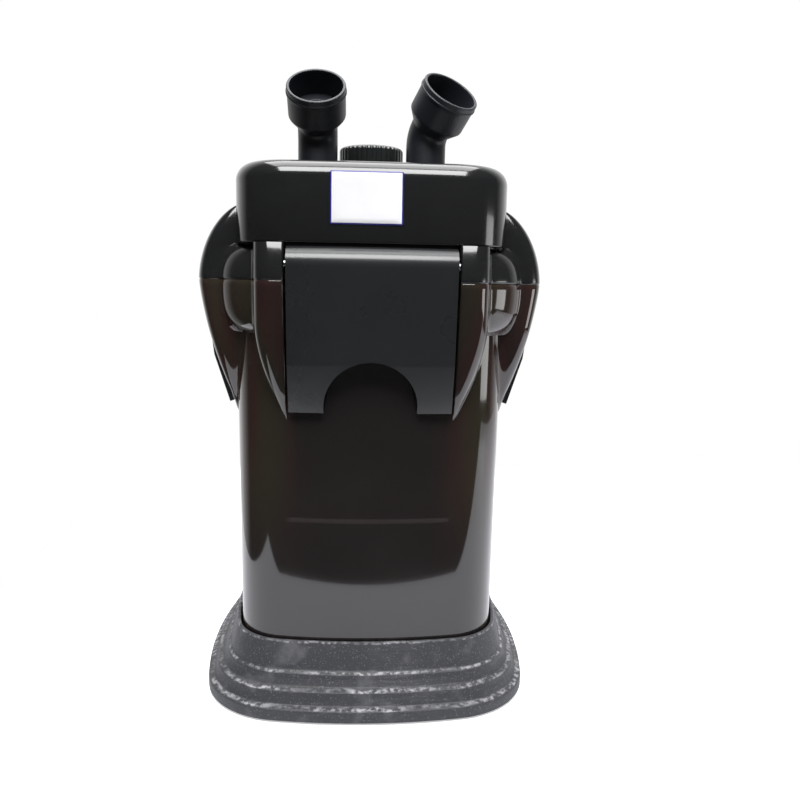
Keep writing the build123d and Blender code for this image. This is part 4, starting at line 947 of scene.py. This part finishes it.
NODE_LOOKS = {
    "base_feet": rubber, "canister_seal": rubber, "port_seals": rubber, "shaft_bushes": rubber,
    "port_sockets": inner_black, "primer_cylinder": inner_black, "motor_housing": inner_black,
    "volute_housing": inner_black, "intake_tube": inner_black, "gland_nut": inner_black,
    "cover_screws": steel, "latch_pins": steel, "primer_spring": steel, "stator_core": steel,
    "stator_coils": copper, "basket_lower": basket_grey, "basket_upper": basket_grey,
    "basket_lid": basket_grey, "impeller": resin, "impeller_shaft": shaft_white,
    "ceramic_rings": ceramic, "coarse_foam": foam_dark, "medium_foam": foam_blue, "fine_foam": floss,
}
for node, look in NODE_LOOKS.items():
    data = frame["nodes"][node].data
    data.materials.clear()
    data.materials.append(look)

# ---- make everything ----
stand(stand_grey)
canister(tank)
pump_head(head_black)
cover(head_black)
port_rims(head_black)
badge(badge_white)
for side, turn in (("right", 0), ("rear", 90), ("left", 180), ("front", 270)):
    latch(side, latch_black, turn)
    latch_hinge(side, latch_black, turn)
elbow("intake_cup", cup_black, -PORT_X, 0, "intake_swivel")
elbow("outlet_cup", cup_black, PORT_X, 34, "outlet_swivel")
knob(knob_black)
gland(inner_black)


# ---- floor, world, lamps and camera ----
def floor():
    """White table top that ends in front of the object; white to the camera, keeping a soft shadow."""
    mesh = bpy.data.meshes.new("table_top")
    left, right, near, far = -0.34, 1.1, -0.302, 0.6
    corners = [(left, near, 0), (right, near, 0), (right, far, 0), (left, far, 0)]
    mesh.from_pydata(corners, [], [(0, 1, 2, 3)])
    top = bpy.data.objects.new("table_top", mesh)
    bpy.context.scene.collection.objects.link(top)
    material = bpy.data.materials.new("table_white")
    material.use_nodes = True
    tree = material.node_tree
    shader = tree.nodes["Principled BSDF"]
    shader.inputs["Base Color"].default_value = (0.84, 0.85, 0.90, 1)
    shader.inputs["Roughness"].default_value = 0.6
    path = tree.nodes.new("ShaderNodeLightPath")
    glow = tree.nodes.new("ShaderNodeEmission")
    add = tree.nodes.new("ShaderNodeAddShader")
    mix = tree.nodes.new("ShaderNodeMixShader")
    glow.inputs["Strength"].default_value = 0.5
    tree.links.new(shader.outputs[0], add.inputs[0])
    tree.links.new(glow.outputs[0], add.inputs[1])
    tree.links.new(path.outputs["Is Camera Ray"], mix.inputs[0])
    tree.links.new(shader.outputs[0], mix.inputs[1])
    tree.links.new(add.outputs[0], mix.inputs[2])
    tree.links.new(mix.outputs[0], tree.nodes["Material Output"].inputs["Surface"])
    mesh.materials.append(material)


def world():
    """Pure white to the camera; for light, bright behind and dim in front, like a lit table in a room."""
    scene_world = bpy.data.worlds.new("studio")
    bpy.context.scene.world = scene_world
    scene_world.use_nodes = True
    tree = scene_world.node_tree
    back = tree.nodes["Background"]
    coords = tree.nodes.new("ShaderNodeTexCoord").outputs["Generated"]
    split = tree.nodes.new("ShaderNodeSeparateXYZ")
    tree.links.new(coords, split.inputs["Vector"])
    behind = ranged(tree, split.outputs["Y"], 0.2, 0.7, 0.05, 1.0)
    color = mixed(tree, behind, (0, 0, 0, 1), (1, 1, 1, 1))
    tree.links.new(color, back.inputs["Color"])
    back.inputs["Strength"].default_value = 1.0
    white = tree.nodes.new("ShaderNodeBackground")
    white.inputs["Color"].default_value = (1, 1, 1, 1)
    path = tree.nodes.new("ShaderNodeLightPath")
    shown = math(tree, "MAXIMUM", path.outputs["Is Camera Ray"], path.outputs["Is Transmission Ray"])
    mix = tree.nodes.new("ShaderNodeMixShader")
    tree.links.new(shown, mix.inputs[0])
    tree.links.new(back.outputs[0], mix.inputs[1])
    tree.links.new(white.outputs[0], mix.inputs[2])
    tree.links.new(mix.outputs[0], tree.nodes["World Output"].inputs["Surface"])


def lamp(name, place, target, size, power):
    """Soft rectangular lamp aimed at a point, in metres and watts."""
    data = bpy.data.lights.new(name, "AREA")
    data.shape = "RECTANGLE"
    data.size, data.size_y = size
    data.energy = power
    light = bpy.data.objects.new(name, data)
    light.location = place
    light.rotation_mode = "QUATERNION"
    light.rotation_quaternion = (Vector(target) - Vector(place)).to_track_quat("-Z", "Y")
    bpy.context.scene.collection.objects.link(light)


def camera():
    """Level-eyed camera just above the collar, a little under 600 mm in front, turned down slightly."""
    place = np.array([-7.83, -593.95, 291.55])
    heading, pitch, roll = -0.054, 0.153, 0.019
    ahead = np.array([-sin(heading) * cos(pitch), cos(heading) * cos(pitch), -sin(pitch)])
    right = np.array([cos(heading), sin(heading), 0.0])
    up = np.cross(right, ahead)
    right, up = cos(roll) * right + sin(roll) * up, cos(roll) * up - sin(roll) * right
    data = bpy.data.cameras.new("camera")
    data.lens = 35.07
    data.clip_start = 0.01
    view = bpy.data.objects.new("camera", data)
    turn = Matrix((right, up, -ahead)).transposed().to_4x4()
    view.matrix_world = Matrix.Translation(Vector(place * MM)) @ turn
    bpy.context.scene.collection.objects.link(view)
    bpy.context.scene.camera = view


floor()
world()
lamp("key", (0.0, -0.95, 1.55), (0, 0, 0.2), (1.3, 0.8), 42.0)
lamp("top", (0.0, 0.1, 1.5), (0, 0, 0.3), (1.2, 1.0), 20.0)
lamp("window", (0.95, -0.2, 0.20), (0, 0, 0.2), (0.3, 0.26), 0.9)
camera()
bpy.context.scene.view_settings.view_transform = "Standard"
